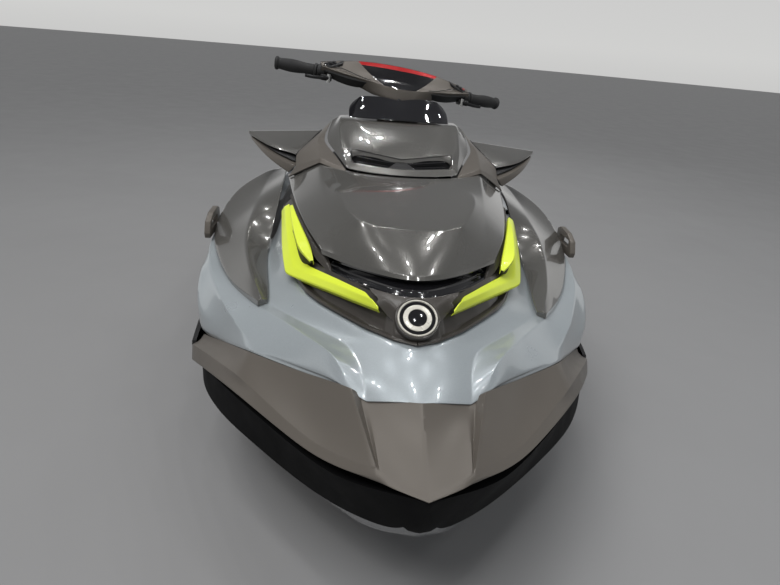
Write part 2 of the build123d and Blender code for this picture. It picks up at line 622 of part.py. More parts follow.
imp = turned([(399, 0), (399, 27), (470, 30), (492, 14), (1046, 14), (1046, 0)])
for i in range(4):
    b = box(404, 466, -2.5, 2.5, PUMP_Z + 20, PUMP_Z + IMPELLER_R - 0.5)
    b = b.rotate(Axis((435, 0, PUMP_Z), (0, 0, 1)), 32)
    b = b & turned([(396, 0), (396, IMPELLER_R), (476, IMPELLER_R), (476, 0)])
    imp += b.rotate(Axis((0, 0, PUMP_Z), (1, 0, 0)), i * 90)
parts["impeller"] = solid(imp)

ring_ = tube(190, 210, 86, 72)
for s in (1, -1):
    ring_ += rod((NOZZLE_X, 80 * s, PUMP_Z), (NOZZLE_X, 101.5 * s, PUMP_Z), 7)
    ring_ -= rod((NOZZLE_X, 0, PUMP_Z + 60 * s), (NOZZLE_X, 0, PUMP_Z + 95 * s), 6.06)
parts["trim_ring"] = solid(ring_)

noz = turned([(95, 41), (95, 46), (180, 67), (208, 67), (208, 62), (180, 62)])
for s in (1, -1):
    noz += rod((NOZZLE_X, 0, PUMP_Z + 64 * s), (NOZZLE_X, 0, PUMP_Z + 84 * s), 6)
noz = solid(noz).rotate(Axis((NOZZLE_X, 0, PUMP_Z), (0, 0, 1)), BAR_TURN * NOZZLE_RATIO)
parts["steering_nozzle"] = noz

BR0, BR1, BA0, BA1 = 165.0, 171.0, 20.0, 58.0


def at(r, deg):
    return (BUCKET_X - r * cos(radians(deg)), PUMP_Z + r * sin(radians(deg)))


steps = [BA0 + (BA1 - BA0) * i / 6 for i in range(7)]
hood_b = across([at(BR1, a) for a in steps] + [at(BR0, a) for a in reversed(steps)], 112)
buck = hood_b
for s in (1, -1):
    pl = Plane(origin=(0, 106 * s if s < 0 else 112, 0), x_dir=(1, 0, 0), z_dir=(0, -1, 0))
    arm = across([at(BR1, BA0), at(BR1, (BA0 + BA1) / 2), at(BR1, BA1), at(16, 110), (BUCKET_X + 16, PUMP_Z), (BUCKET_X + 6, PUMP_Z - 15), at(16, -50)], 112)
    y0, y1 = sorted((105.5 * s, 112 * s))
    arm = arm & box(0, 400, y0, y1, -50, 400)
    buck += arm
    buck += rod((BUCKET_X, 92.5 * s, PUMP_Z), (BUCKET_X, 108 * s, PUMP_Z), 8)
parts["reverse_bucket"] = solid(buck)

parts["ride_plate"] = box(240, 498, -140, 140, 0, 9)
gr = box(650, 975, -76, 76, 4, 12) - box(662, 963, -66, 66, 0, 20)
for y in (-33, 0, 33):
    gr += box(655, 970, y - 4, y + 4, 4, 12)
parts["intake_grate"] = solid(gr)

# boarding step on the transom
hx, hz = TRANSOM_STEP
br = []
for s in (1, -1):
    y0, y1 = sorted((158 * s, 168 * s))
    b = box(-30, 0, y0, y1, hz - 14, hz + 14)
    y2, y3 = sorted((184 * s, 194 * s))
    b += box(-30, 0, y2, y3, hz - 14, hz + 14) + box(-6, 0, min(y0, y2), max(y1, y3), hz - 14, hz + 14)
    b -= rod((hx, 150 * s, hz), (hx, 200 * s, hz), 5.06)
    br.append(solid(b))
parts["step_brackets"] = br
st = rod((hx, -200, hz), (hx, 200, hz), 5)
for s in (1, -1):
    y0, y1 = sorted((169.5 * s, 182.5 * s))
    st += box(hx - 7, hx + 7, y0, y1, hz - 8, hz + 190)
st += box(hx - 9, hx + 5, -182.5, 182.5, hz + 165, hz + 195)
parts["boarding_step"] = solid(st)

# ---------------------------------------------------------------------------
# to the stored frame, and out
# ---------------------------------------------------------------------------
shift = Pos(-ORIGIN_X, 0, -WATERLINE)
for name, shape in parts.items():
    if isinstance(shape, (list, tuple)):
        sol = []
        for q in shape:
            sol += list(q.solids())
        shape = Compound(sol)
    export_step(shift * shape, f"parts/{name}.step")
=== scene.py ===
import bpy
import bmesh
import math
import random
import numpy as np
from math import radians, sin, cos, pi, sqrt
from mathutils import Vector, Matrix
from mathutils.bvhtree import BVHTree


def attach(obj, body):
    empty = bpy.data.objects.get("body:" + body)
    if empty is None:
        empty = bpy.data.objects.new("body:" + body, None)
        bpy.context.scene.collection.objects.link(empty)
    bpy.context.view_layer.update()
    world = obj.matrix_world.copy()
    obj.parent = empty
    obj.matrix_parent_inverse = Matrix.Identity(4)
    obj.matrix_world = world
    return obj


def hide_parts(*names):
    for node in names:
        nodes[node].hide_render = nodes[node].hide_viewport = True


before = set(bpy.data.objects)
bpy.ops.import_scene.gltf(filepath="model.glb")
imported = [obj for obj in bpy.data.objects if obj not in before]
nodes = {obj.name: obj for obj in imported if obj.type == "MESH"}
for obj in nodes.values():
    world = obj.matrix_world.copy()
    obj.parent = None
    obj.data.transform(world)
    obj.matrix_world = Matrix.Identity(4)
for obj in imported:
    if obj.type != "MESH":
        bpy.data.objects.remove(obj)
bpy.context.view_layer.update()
random.seed(7)

# ---------------------------------------------------------------------------
# Personal watercraft.  Points are written in mm, x forward from the transom,
# y to port, z up from the keel, and turned into metres of the frame.
# ---------------------------------------------------------------------------
OX, OZ = 1350.0, 280.0


def W(p):
    return Vector(((p[0] - OX) * 0.001, p[1] * 0.001, (p[2] - OZ) * 0.001))


def lerp(a, b, t):
    return tuple(a[i] + (b[i] - a[i]) * t for i in range(3))


def plus(p, x=0.0, y=0.0, z=0.0):
    return (p[0] + x, p[1] + y, p[2] + z)


def resample(pts, n):
    """n points along a run of points, even in length"""
    p = np.array(pts, float)
    d = np.r_[0, np.cumsum(np.linalg.norm(np.diff(p, axis=0), axis=1))]
    t = np.linspace(0, d[-1], n)
    return [tuple(float(np.interp(s, d, p[:, k])) for k in range(3)) for s in t]


def smooth_run(pts, n):
    """n points on a Catmull-Rom curve through the given points"""
    p = [np.array(q, float) for q in pts]
    p = [2 * p[0] - p[1]] + p + [2 * p[-1] - p[-2]]
    out = []
    m = len(pts) - 1
    for i in range(n):
        s = i * m / (n - 1)
        k = min(int(s), m - 1)
        t = s - k
        a, b, c, d = p[k:k + 4]
        q = 0.5 * (2 * b + (c - a) * t + (2 * a - 5 * b + 4 * c - d) * t * t + (3 * b - a - 3 * c + d) * t ** 3)
        out.append(tuple(float(v) for v in q))
    return out


# ---------------------------------------------------------------------------
# materials
# ---------------------------------------------------------------------------
MATS = {}


def mat(name, base, rough=0.5, metal=0.0, coat=0.0, coat_rough=0.04, var=0.07, nscale=7.0, rvar=0.06,
        bump=0.0, bscale=120.0, bdist=0.0006, flake=0.0, sheen=0.0, trans=0.0, ior=None, kind="noise",
        edge=0.0, spec=0.5, tint=None, detail=4.0):
    m = bpy.data.materials.new(name)
    m.use_nodes = True
    nt = m.node_tree
    N, L = nt.nodes, nt.links
    b = N["Principled BSDF"]
    b.inputs["Metallic"].default_value = metal
    b.inputs["Coat Weight"].default_value = coat
    b.inputs["Coat Roughness"].default_value = coat_rough
    b.inputs["Specular IOR Level"].default_value = spec
    b.inputs["Sheen Weight"].default_value = sheen
    b.inputs["Transmission Weight"].default_value = trans
    if ior:
        b.inputs["IOR"].default_value = ior
    tc = N.new("ShaderNodeTexCoord")
    n1 = N.new("ShaderNodeTexNoise")
    n1.inputs["Scale"].default_value = nscale
    n1.inputs["Detail"].default_value = detail
    n1.inputs["Roughness"].default_value = 0.55
    L.new(tc.outputs["Object"], n1.inputs["Vector"])
    cr = N.new("ShaderNodeValToRGB")
    cr.color_ramp.elements[0].position = 0.28
    cr.color_ramp.elements[1].position = 0.72
    t = tint or base
    cr.color_ramp.elements[0].color = tuple(max(0.0, c * (1 - var)) for c in base) + (1,)
    cr.color_ramp.elements[1].color = tuple(min(1.0, c * (1 + var)) for c in t) + (1,)
    L.new(n1.outputs["Fac"], cr.inputs["Fac"])
    col = cr.outputs["Color"]
    if flake > 0:
        vo = N.new("ShaderNodeTexVoronoi")
        vo.inputs["Scale"].default_value = 1400.0
        L.new(tc.outputs["Object"], vo.inputs["Vector"])
        bw = N.new("ShaderNodeRGBToBW")
        L.new(vo.outputs["Color"], bw.inputs["Color"])
        mr = N.new("ShaderNodeMapRange")
        mr.inputs["From Min"].default_value = 0.1
        mr.inputs["From Max"].default_value = 0.9
        mr.inputs["To Min"].default_value = 1 - flake
        mr.inputs["To Max"].default_value = 1 + flake
        L.new(bw.outputs["Val"], mr.inputs["Value"])
        mx = N.new("ShaderNodeVectorMath")
        mx.operation = "SCALE"
        L.new(col, mx.inputs[0])
        L.new(mr.outputs["Result"], mx.inputs["Scale"])
        col = mx.outputs["Vector"]
    # painted highlight: the base colour is lightened on sharp convex edges (pointiness), standing in for light caught
    # by the edges
    if edge > 0:
        ge = N.new("ShaderNodeNewGeometry")
        mr2 = N.new("ShaderNodeMapRange")
        mr2.inputs["From Min"].default_value = 0.52
        mr2.inputs["From Max"].default_value = 0.62
        mr2.inputs["To Min"].default_value = 1.0
        mr2.inputs["To Max"].default_value = 1.0 + edge
        L.new(ge.outputs["Pointiness"], mr2.inputs["Value"])
        mx2 = N.new("ShaderNodeVectorMath")
        mx2.operation = "SCALE"
        L.new(col, mx2.inputs[0])
        L.new(mr2.outputs["Result"], mx2.inputs["Scale"])
        col = mx2.outputs["Vector"]
    L.new(col, b.inputs["Base Color"])
    n2 = N.new("ShaderNodeTexNoise")
    n2.inputs["Scale"].default_value = nscale * 2.7
    n2.inputs["Detail"].default_value = 5.0
    L.new(tc.outputs["Object"], n2.inputs["Vector"])
    rr = N.new("ShaderNodeMapRange")
    rr.inputs["From Min"].default_value = 0.3
    rr.inputs["From Max"].default_value = 0.7
    rr.inputs["To Min"].default_value = max(0.01, rough - rvar)
    rr.inputs["To Max"].default_value = min(1.0, rough + rvar)
    L.new(n2.outputs["Fac"], rr.inputs["Value"])
    L.new(rr.outputs["Result"], b.inputs["Roughness"])
    if bump > 0:
        if kind == "voronoi":
            n3 = N.new("ShaderNodeTexVoronoi")
            n3.inputs["Scale"].default_value = bscale
            out = n3.outputs["Distance"]
        elif kind == "wave":
            n3 = N.new("ShaderNodeTexWave")
            n3.inputs["Scale"].default_value = bscale
            n3.inputs["Distortion"].default_value = 0.4
            out = n3.outputs["Fac"]
        else:
            n3 = N.new("ShaderNodeTexNoise")
            n3.inputs["Scale"].default_value = bscale
            n3.inputs["Detail"].default_value = 3.0
            out = n3.outputs["Fac"]
        L.new(tc.outputs["Object"], n3.inputs["Vector"])
        bp = N.new("ShaderNodeBump")
        bp.inputs["Strength"].default_value = bump
        bp.inputs["Distance"].default_value = bdist
        L.new(out, bp.inputs["Height"])
        L.new(bp.outputs["Normal"], b.inputs["Normal"])
    m.diffuse_color = tuple(base) + (1,)
    MATS[name] = m
    return m


# edge= below sets the painted edge highlight of a material
mat("silver", (0.35, 0.385, 0.405), rough=0.30, metal=0.42, coat=0.8, coat_rough=0.03, var=0.035, nscale=2.2, rvar=0.03, flake=0.10)
mat("panel", (0.108, 0.105, 0.098), rough=0.24, metal=0.45, coat=1.0, coat_rough=0.025, var=0.06, nscale=2.5, rvar=0.03, flake=0.16)
mat("hullgrey", (0.085, 0.09, 0.096), rough=0.22, metal=0.15, coat=1.0, coat_rough=0.03, var=0.05, nscale=2.0, rvar=0.03, flake=0.06)
mat("taupe", (0.112, 0.100, 0.087), rough=0.38, metal=0.32, coat=0.0, var=0.05, nscale=3.0, rvar=0.05, bump=0.22, bscale=620, bdist=0.0003)
mat("taupe_dark", (0.050, 0.045, 0.040), rough=0.36, metal=0.30, coat=0.35, coat_rough=0.2, var=0.06, nscale=3.0, rvar=0.05, bump=0.2, bscale=520, bdist=0.0003)
mat("band", (0.0045, 0.0045, 0.0048), rough=0.66, spec=0.08, var=0.12, nscale=5.0, rvar=0.06, bump=0.3, bscale=520, bdist=0.0004)
mat("matte", (0.0110, 0.0110, 0.0115), rough=0.55, metal=0.0, coat=0.0, var=0.15, nscale=5.0, rvar=0.07, bump=0.35, bscale=520, bdist=0.0004, edge=0.5)
mat("gloss", (0.006, 0.006, 0.007), rough=0.10, metal=0.0, coat=1.0, coat_rough=0.02, var=0.15, nscale=4.0, rvar=0.03)
mat("yellow", (0.58, 0.68, 0.040), rough=0.36, metal=0.0, coat=0.35, coat_rough=0.12, var=0.03, nscale=5.0, rvar=0.05, bump=0.06, bscale=300, bdist=0.0002)
mat("red", (0.42, 0.012, 0.014), rough=0.22, metal=0.25, coat=1.0, coat_rough=0.03, var=0.06, nscale=6.0, rvar=0.04, flake=0.08)
mat("tint", (0.010, 0.010, 0.012), rough=0.05, metal=0.0, coat=1.0, coat_rough=0.01, var=0.1, nscale=3.0, rvar=0.02, trans=0.25, ior=1.49)
mat("mirror", (0.80, 0.82, 0.84), rough=0.03, metal=1.0, var=0.01, nscale=9.0, rvar=0.015)
mat("lcd", (0.004, 0.005, 0.007), rough=0.07, metal=0.0, coat=1.0, coat_rough=0.01, var=0.2, nscale=14.0, rvar=0.02)
mat("rubber", (0.016, 0.016, 0.0165), rough=0.70, var=0.16, nscale=9.0, rvar=0.08, bump=0.45, bscale=420, bdist=0.0005, edge=0.5)
mat("foam", (0.040, 0.041, 0.043), rough=0.85, var=0.18, nscale=12.0, rvar=0.06, bump=0.55, bscale=700, bdist=0.0005, edge=0.4, sheen=0.15)
mat("vinyl", (0.019, 0.019, 0.020), rough=0.50, var=0.16, nscale=8.0, rvar=0.07, bump=0.35, bscale=520, bdist=0.0004, kind="voronoi", edge=0.35, sheen=0.08)
mat("vinyl_grey", (0.115, 0.108, 0.10), rough=0.52, var=0.10, nscale=8.0, rvar=0.07, bump=0.35, bscale=520, bdist=0.0004, kind="voronoi", edge=0.25, sheen=0.08)
mat("thread", (0.55, 0.68, 0.03), rough=0.6, var=0.1, nscale=60, rvar=0.05, bump=0.3, bscale=1500, bdist=0.0002)
mat("steel", (0.55, 0.55, 0.54), rough=0.20, metal=1.0, var=0.05, nscale=14, rvar=0.07, bump=0.06, bscale=240, bdist=0.0002)
mat("alloy", (0.40, 0.405, 0.41), rough=0.38, metal=0.95, var=0.08, nscale=10, rvar=0.08, bump=0.18, bscale=380, bdist=0.0003, edge=0.3)
mat("barblack", (0.018, 0.018, 0.019), rough=0.38, metal=0.5, var=0.15, nscale=12, rvar=0.08, bump=0.15, bscale=500, bdist=0.0003, edge=0.6)
mat("enginegrey", (0.075, 0.077, 0.08), rough=0.5, metal=0.6, var=0.2, nscale=9, rvar=0.1, bump=0.3, bscale=160, bdist=0.0006)
mat("bin", (0.028, 0.028, 0.029), rough=0.6, var=0.12, nscale=9, rvar=0.08, bump=0.3, bscale=380, bdist=0.0004)
mat("cream", (0.56, 0.54, 0.48), rough=0.28, metal=0.35, coat=0.8, var=0.04, nscale=16, rvar=0.04)
mat("floor", (0.205, 0.205, 0.207), rough=0.62, var=0.02, nscale=1.2, rvar=0.04, bump=0.04, bscale=60, bdist=0.0005)


# ---------------------------------------------------------------------------
# mesh builders
# ---------------------------------------------------------------------------
def link(ob):
    bpy.context.scene.collection.objects.link(ob)
    return ob


def bake(ob, sharp=32):
    """applies the modifiers and sets which edges are sharp"""
    dg = bpy.context.evaluated_depsgraph_get()
    dg.update()
    me = bpy.data.meshes.new_from_object(ob.evaluated_get(dg), depsgraph=dg)
    ob.modifiers.clear()
    me.name = ob.name
    ob.data = me
    for p in me.polygons:
        p.use_smooth = True
    me.set_sharp_from_angle(angle=radians(sharp))
    return ob


def orient(me, out):
    """makes the normals of each island agree and point out: out is a direction, or None for a closed mesh"""
    bm = bmesh.new()
    bm.from_mesh(me)
    bmesh.ops.recalc_face_normals(bm, faces=bm.faces)
    if out is not None:
        seen = set()
        for f0 in bm.faces:
            if f0.index in seen:
                continue
            stack, isl = [f0], []
            seen.add(f0.index)
            while stack:
                f = stack.pop()
                isl.append(f)
                for e in f.edges:
                    for g in e.link_faces:
                        if g.index not in seen:
                            seen.add(g.index)
                            stack.append(g)
            cy = sum(f.calc_center_median().y for f in isl) / len(isl)
            d = Vector((out[0], out[1] * (1 if cy >= 0 else -1), out[2]))
            s = sum(f.normal.dot(d) * f.calc_area() for f in isl)
            if s < 0:
                bmesh.ops.reverse_faces(bm, faces=isl)
    bm.to_mesh(me)
    bm.free()


class Cage:
    """a control net: faces of points in mm, creases along runs of points"""

    def __init__(self):
        self.v, self.k, self.f, self.m, self.e, self.c = [], {}, [], [], {}, {}

    def vid(self, p):
        key = (round(p[0], 1), round(p[1], 1), round(p[2], 1))
        if key not in self.k:
            self.k[key] = len(self.v)
            self.v.append(p)
        return self.k[key]

    def face(self, pts, m=0):
        ids = []
        for p in pts:
            i = self.vid(p)
            if i not in ids:
                ids.append(i)
        if len(ids) > 2:
            self.f.append(ids)
            self.m.append(m)

    def grid(self, rows, m=0, close=False, ms=None):
        for r, (a, b) in enumerate(zip(rows, rows[1:])):
            n = len(a)
            for j in range(n if close else n - 1):
                k = (j + 1) % n
                self.face([a[j], a[k], b[k], b[j]], ms(r, j) if ms else m)
        return self

    def crease(self, pts, val):
        for a, b in zip(pts, pts[1:]):
            i, j = self.vid(a), self.vid(b)
            if i != j:
                self.e[frozenset((i, j))] = val
        return self

    def corner(self, p, val=1.0):
        self.c[self.vid(p)] = val
        return self

    def mirrored(self):
        f, m, e, c = list(self.f), list(self.m), dict(self.e), dict(self.c)
        mir = {}
        for i, p in enumerate(list(self.v)):
            mir[i] = self.vid((p[0], -p[1] if abs(p[1]) > 0.06 else 0.0, p[2])) if abs(p[1]) > 0.06 else i
        for ids, mm in zip(f, m):
            self.f.append([mir[i] for i in reversed(ids)])
            self.m.append(mm)
        for k, val in e.items():
            self.e[frozenset(mir[i] for i in k)] = val
        for k, val in c.items():
            self.c[mir[k]] = val
        return self

    def build(self, name, mats, level=3, out=None, thick=0.0, bevel=0.0, bang=38, sharp=32, xf=None, rim_mat=None):
        me = bpy.data.meshes.new(name)
        pts = [W(xf(p) if xf else p) for p in self.v]
        me.from_pydata(pts, [], self.f)
        me.update()
        if isinstance(mats, str):
            mats = [mats]
        for q in mats:
            me.materials.append(MATS[q])
        for p, mm in zip(me.polygons, self.m):
            p.material_index = mm
        orient(me, out)
        ce = me.attributes.new("crease_edge", "FLOAT", "EDGE")
        for i, e in enumerate(me.edges):
            ce.data[i].value = self.e.get(frozenset(e.vertices), 0.0)
        cv = me.attributes.new("crease_vert", "FLOAT", "POINT")
        for i, val in self.c.items():
            cv.data[i].value = val
        ob = link(bpy.data.objects.new(name, me))
        if level:
            s = ob.modifiers.new("s", "SUBSURF")
            s.levels = s.render_levels = level
            s.boundary_smooth = "PRESERVE_CORNERS"
            s.use_limit_surface = True
        if thick:
            s = ob.modifiers.new("t", "SOLIDIFY")
            s.thickness = thick
            s.offset = -1
            s.use_even_offset = True
            s.thickness_clamp = 1.0
            if rim_mat is not None:
                s.material_offset_rim = rim_mat
        if bevel:
            s = ob.modifiers.new("b", "BEVEL")
            s.width = bevel
            s.segments = 2
            s.limit_method = "ANGLE"
            s.angle_limit = radians(bang)
        return bake(ob, sharp)


def done(ob, body, slot, *repl):
    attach(ob, body)
    if repl:
        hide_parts(*repl)
    return ob


def join(name, obs):
    """one mesh from several, each with its own materials"""
    mats, verts, faces, mi, sm = [], [], [], [], []
    sharp = []
    for ob in obs:
        me = ob.data
        base = len(verts)
        mw = ob.matrix_world
        verts += [tuple(mw @ v.co) for v in me.vertices]
        idx = []
        for q in me.materials:
            if q not in mats:
                mats.append(q)
            idx.append(mats.index(q))
        for p in me.polygons:
            faces.append([base + i for i in p.vertices])
            mi.append(idx[p.material_index] if idx else 0)
        at = me.attributes.get("sharp_edge")
        if at:
            for e, d in zip(me.edges, at.data):
                if d.value:
                    sharp.append(frozenset((base + e.vertices[0], base + e.vertices[1])))
    me = bpy.data.meshes.new(name)
    me.from_pydata(verts, [], faces)
    me.update()
    for q in mats:
        me.materials.append(q)
    me.polygons.foreach_set("material_index", mi)
    me.polygons.foreach_set("use_smooth", [True] * len(faces))
    sset = set(sharp)
    at = me.attributes.new("sharp_edge", "BOOLEAN", "EDGE")
    for i, e in enumerate(me.edges):
        if frozenset(e.vertices) in sset:
            at.data[i].value = True
    for ob in obs:
        bpy.data.objects.remove(ob)
    return link(bpy.data.objects.new(name, me))


def frames(path):
    """points with side vectors that turn as little as they can"""
    p = [Vector(q) for q in path]
    t = []
    for i in range(len(p)):
        a, b = p[max(0, i - 1)], p[min(len(p) - 1, i + 1)]
        t.append((b - a).normalized())
    u = t[0].cross(Vector((0, 0, 1)))
    if u.length < 1e-3:
        u = t[0].cross(Vector((1, 0, 0)))
    u.normalize()
    out = []
    for i in range(len(p)):
        if i:
            u = (u - t[i] * u.dot(t[i])).normalized()
        out.append((p[i], t[i], u, t[i].cross(u).normalized()))
    return out


def tube(name, path, radii, mats, seg=24, cap=True, smooth=35, squash=None, xf=None):
    """round tube along a run of points in mm; radii in mm, one or one a point"""
    if not hasattr(radii, "__len__"):
        radii = [radii] * len(path)
    fr = frames(path)
    v, f = [], []
    for (p, t, a, b), r in zip(fr, radii):
        for k in range(seg):
            w = 2 * pi * k / seg
            q = p + (a * cos(w) + b * sin(w)) * r
            v.append(W(xf(q) if xf else q))
    n = len(path)
    for i in range(n - 1):
        for k in range(seg):
            l = (k + 1) % seg
            f.append([i * seg + k, i * seg + l, (i + 1) * seg + l, (i + 1) * seg + k])
    if cap:
        f.append(list(range(seg))[::-1])
        f.append([(n - 1) * seg + k for k in range(seg)])
    me = bpy.data.meshes.new(name)
    me.from_pydata([tuple(q) for q in v], [], f)
    me.update()
    me.materials.append(MATS[mats])
    orient(me, None)
    for p in me.polygons:
        p.use_smooth = True
    me.set_sharp_from_angle(angle=radians(smooth))
    return link(bpy.data.objects.new(name, me))


def lathe(name, profile, origin, axis, mats, seg=48, smooth=30, xf=None, mfun=None, ref=None):
    """solid of revolution: profile of (along, radius) in mm about an axis"""
    o = Vector(origin)
    t = Vector(axis).normalized()
    u = Vector(ref) if ref else (t.cross(Vector((0, 0, 1))) if abs(t.z) < 0.9 else t.cross(Vector((0, 1, 0))))
    u = (u - t * u.dot(t)).normalized()
    w = t.cross(u)
    v, f = [], []
    ring = []
    for a, r in profile:
        if r < 1e-4:
            q = o + t * a
            ring.append([len(v)])
            v.append(W(xf(q) if xf else q))
        else:
            ids = []
            for k in range(seg):
                g = 2 * pi * k / seg
                q = o + t * a + (u * cos(g) + w * sin(g)) * r
                ids.append(len(v))
                v.append(W(xf(q) if xf else q))
            ring.append(ids)
    mi = []
    for i, (a, b) in enumerate(zip(ring, ring[1:])):
        for k in range(seg):
            l = (k + 1) % seg
            if len(a) == 1 and len(b) == 1:
                continue
            if len(a) == 1:
                f.append([a[0], b[l], b[k]])
            elif len(b) == 1:
                f.append([a[k], a[l], b[0]])
            else:
                f.append([a[k], a[l], b[l], b[k]])
            mi.append(mfun(i) if mfun else 0)
    me = bpy.data.meshes.new(name)
    me.from_pydata([tuple(q) for q in v], [], f)
    me.update()
    for q in ([mats] if isinstance(mats, str) else mats):
        me.materials.append(MATS[q])
    for p, k in zip(me.polygons, mi):
        p.material_index = k
    orient(me, None)
    for p in me.polygons:
        p.use_smooth = True
    me.set_sharp_from_angle(angle=radians(smooth))
    return link(bpy.data.objects.new(name, me))


def rbox(name, lo, hi, r, mats, seg=3, xf=None, taper=0.0):
    """box with rounded edges between two corners in mm"""
    bm = bmesh.new()
    bmesh.ops.create_cube(bm, size=1.0)
    for v in bm.verts:
        k = 1.0 - (taper if v.co.z > 0 else 0.0)
        v.co = Vector(((lo[0] + hi[0]) / 2 + v.co.x * (hi[0] - lo[0]) * k,
                       (lo[1] + hi[1]) / 2 + v.co.y * (hi[1] - lo[1]) * k,
                       (lo[2] + hi[2]) / 2 + v.co.z * (hi[2] - lo[2])))
    bmesh.ops.bevel(bm, geom=list(bm.edges), offset=r, segments=seg, profile=0.5, affect="EDGES")
    for v in bm.verts:
        v.co = W(xf(v.co) if xf else v.co)
    bmesh.ops.recalc_face_normals(bm, faces=bm.faces)
    me = bpy.data.meshes.new(name)
    bm.to_mesh(me)
    bm.free()
    me.materials.append(MATS[mats])
    for p in me.polygons:
        p.use_smooth = True
    me.set_sharp_from_angle(angle=radians(40))
    return link(bpy.data.objects.new(name, me))


def plate(name, outline, axis, t, mats, r=1.0, xf=None, seg=2):
    """flat plate with a drawn outline and softened edges: outline is points in mm, axis its normal"""
    n = Vector(axis).normalized()
    bm = bmesh.new()
    top = [bm.verts.new(Vector(p)) for p in outline]
    face = bm.faces.new(top)
    ext = bmesh.ops.extrude_face_region(bm, geom=[face])
    bmesh.ops.translate(bm, verts=[g for g in ext["geom"] if isinstance(g, bmesh.types.BMVert)], vec=-n * t)
    bmesh.ops.recalc_face_normals(bm, faces=bm.faces)
    if r:
        bmesh.ops.bevel(bm, geom=list(bm.edges), offset=r, segments=seg, profile=0.5, affect="EDGES", clamp_overlap=True)
    for v in bm.verts:
        v.co = W(xf(v.co) if xf else v.co)
    bmesh.ops.recalc_face_normals(bm, faces=bm.faces)
    me = bpy.data.meshes.new(name)
    bm.to_mesh(me)
    bm.free()
    me.materials.append(MATS[mats])
    for p in me.polygons:
        p.use_smooth = True
    me.set_sharp_from_angle(angle=radians(35))
    return link(bpy.data.objects.new(name, me))


def flipy(ob, name):
    """port piece copied to starboard"""
    me = ob.data.copy()
    for v in me.vertices:
        v.co.y = -v.co.y
    me.flip_normals()
    at = ob.data.attributes.get("sharp_edge")
    me.name = name
    return link(bpy.data.objects.new(name, me))


def pair(ob):
    """port piece and its mirror image as one mesh"""
    n = ob.name
    ob.name = n + "_p"
    o2 = flipy(ob, n + "_s")
    return join(n, [ob, o2])


def boolean(ob, cutters, op="DIFFERENCE"):
    for c in cutters:
        m = ob.modifiers.new("x", "BOOLEAN")
        m.operation = op
        m.solver = "EXACT"
        m.object = c
    bake(ob, 32)
    for c in cutters:
        bpy.data.objects.remove(c)
    return ob


def both(row):
    return [(x, -y, z) for x, y, z in reversed(row) if y > 0.01] + list(row)


# ---------------------------------------------------------------------------
# camera, floor and light
# ---------------------------------------------------------------------------
cam = bpy.data.cameras.new("camera")
camo = link(bpy.data.objects.new("camera", cam))
right = Vector((0.059608, 0.995074, 0.079212))
down = Vector((0.418827, 0.047100, -0.906844))
view = Vector((-0.906107, 0.087231, -0.413957))
camo.matrix_world = Matrix((
    (right.x, -down.x, -view.x, 2.804216),
    (right.y, -down.y, -view.y, -0.170670),
    (right.z, -down.z, -view.z, 0.925475),
    (0, 0, 0, 1)))
cam.sensor_width = 36
cam.lens = 25.10
cam.clip_start = 0.02
cam.clip_end = 200
bpy.context.scene.camera = camo
bpy.context.scene.view_settings.view_transform = "Standard"
bpy.context.scene.view_settings.look = "None"

bm = bmesh.new()
bmesh.ops.create_circle(bm, cap_ends=True, radius=60, segments=96)
for v in bm.verts:
    v.co.z = -0.28
me = bpy.data.meshes.new("floor")
bm.to_mesh(me)
bm.free()
me.materials.append(MATS["floor"])
floor = link(bpy.data.objects.new("floor", me))

world = bpy.data.worlds.new("studio")
bpy.context.scene.world = world
world.use_nodes = True
wn, wl = world.node_tree.nodes, world.node_tree.links
bg = wn["Background"]
tcw = wn.new("ShaderNodeTexCoord")
sep = wn.new("ShaderNodeSeparateXYZ")
wr = wn.new("ShaderNodeValToRGB")
wl.new(tcw.outputs["Generated"], sep.inputs[0])
mrw = wn.new("ShaderNodeMapRange")
mrw.inputs["From Min"].default_value = -1.0
mrw.inputs["From Max"].default_value = 1.0
wl.new(sep.outputs["Z"], mrw.inputs["Value"])
wl.new(mrw.outputs["Result"], wr.inputs["Fac"])
e = wr.color_ramp.elements
e[0].position, e[0].color = 0.40, (0.42, 0.42, 0.42, 1)
e[1].position, e[1].color = 1.0, (0.12, 0.122, 0.126, 1)
for pos, c in ((0.51, (0.70, 0.70, 0.69, 1)), (0.60, (0.64, 0.64, 0.64, 1)), (0.66, (0.24, 0.243, 0.248, 1)), (0.80, (0.15, 0.153, 0.158, 1))):
    q = e.new(pos)
    q.color = c
wl.new(wr.outputs["Color"], bg.inputs["Color"])
bg.inputs["Strength"].default_value = 0.9


def area(name, loc, target, size, power, sy=None, color=(1, 1, 1)):
    l = bpy.data.lights.new(name, "AREA")
    l.energy = power
    l.color = color
    l.size = size
    if sy:
        l.shape = "RECTANGLE"
        l.size_y = sy
    o = link(bpy.data.objects.new(name, l))
    o.location = loc
    o.rotation_mode = "QUATERNION"
    o.rotation_quaternion = (Vector(target) - Vector(loc)).to_track_quat("-Z", "Y")
    return o


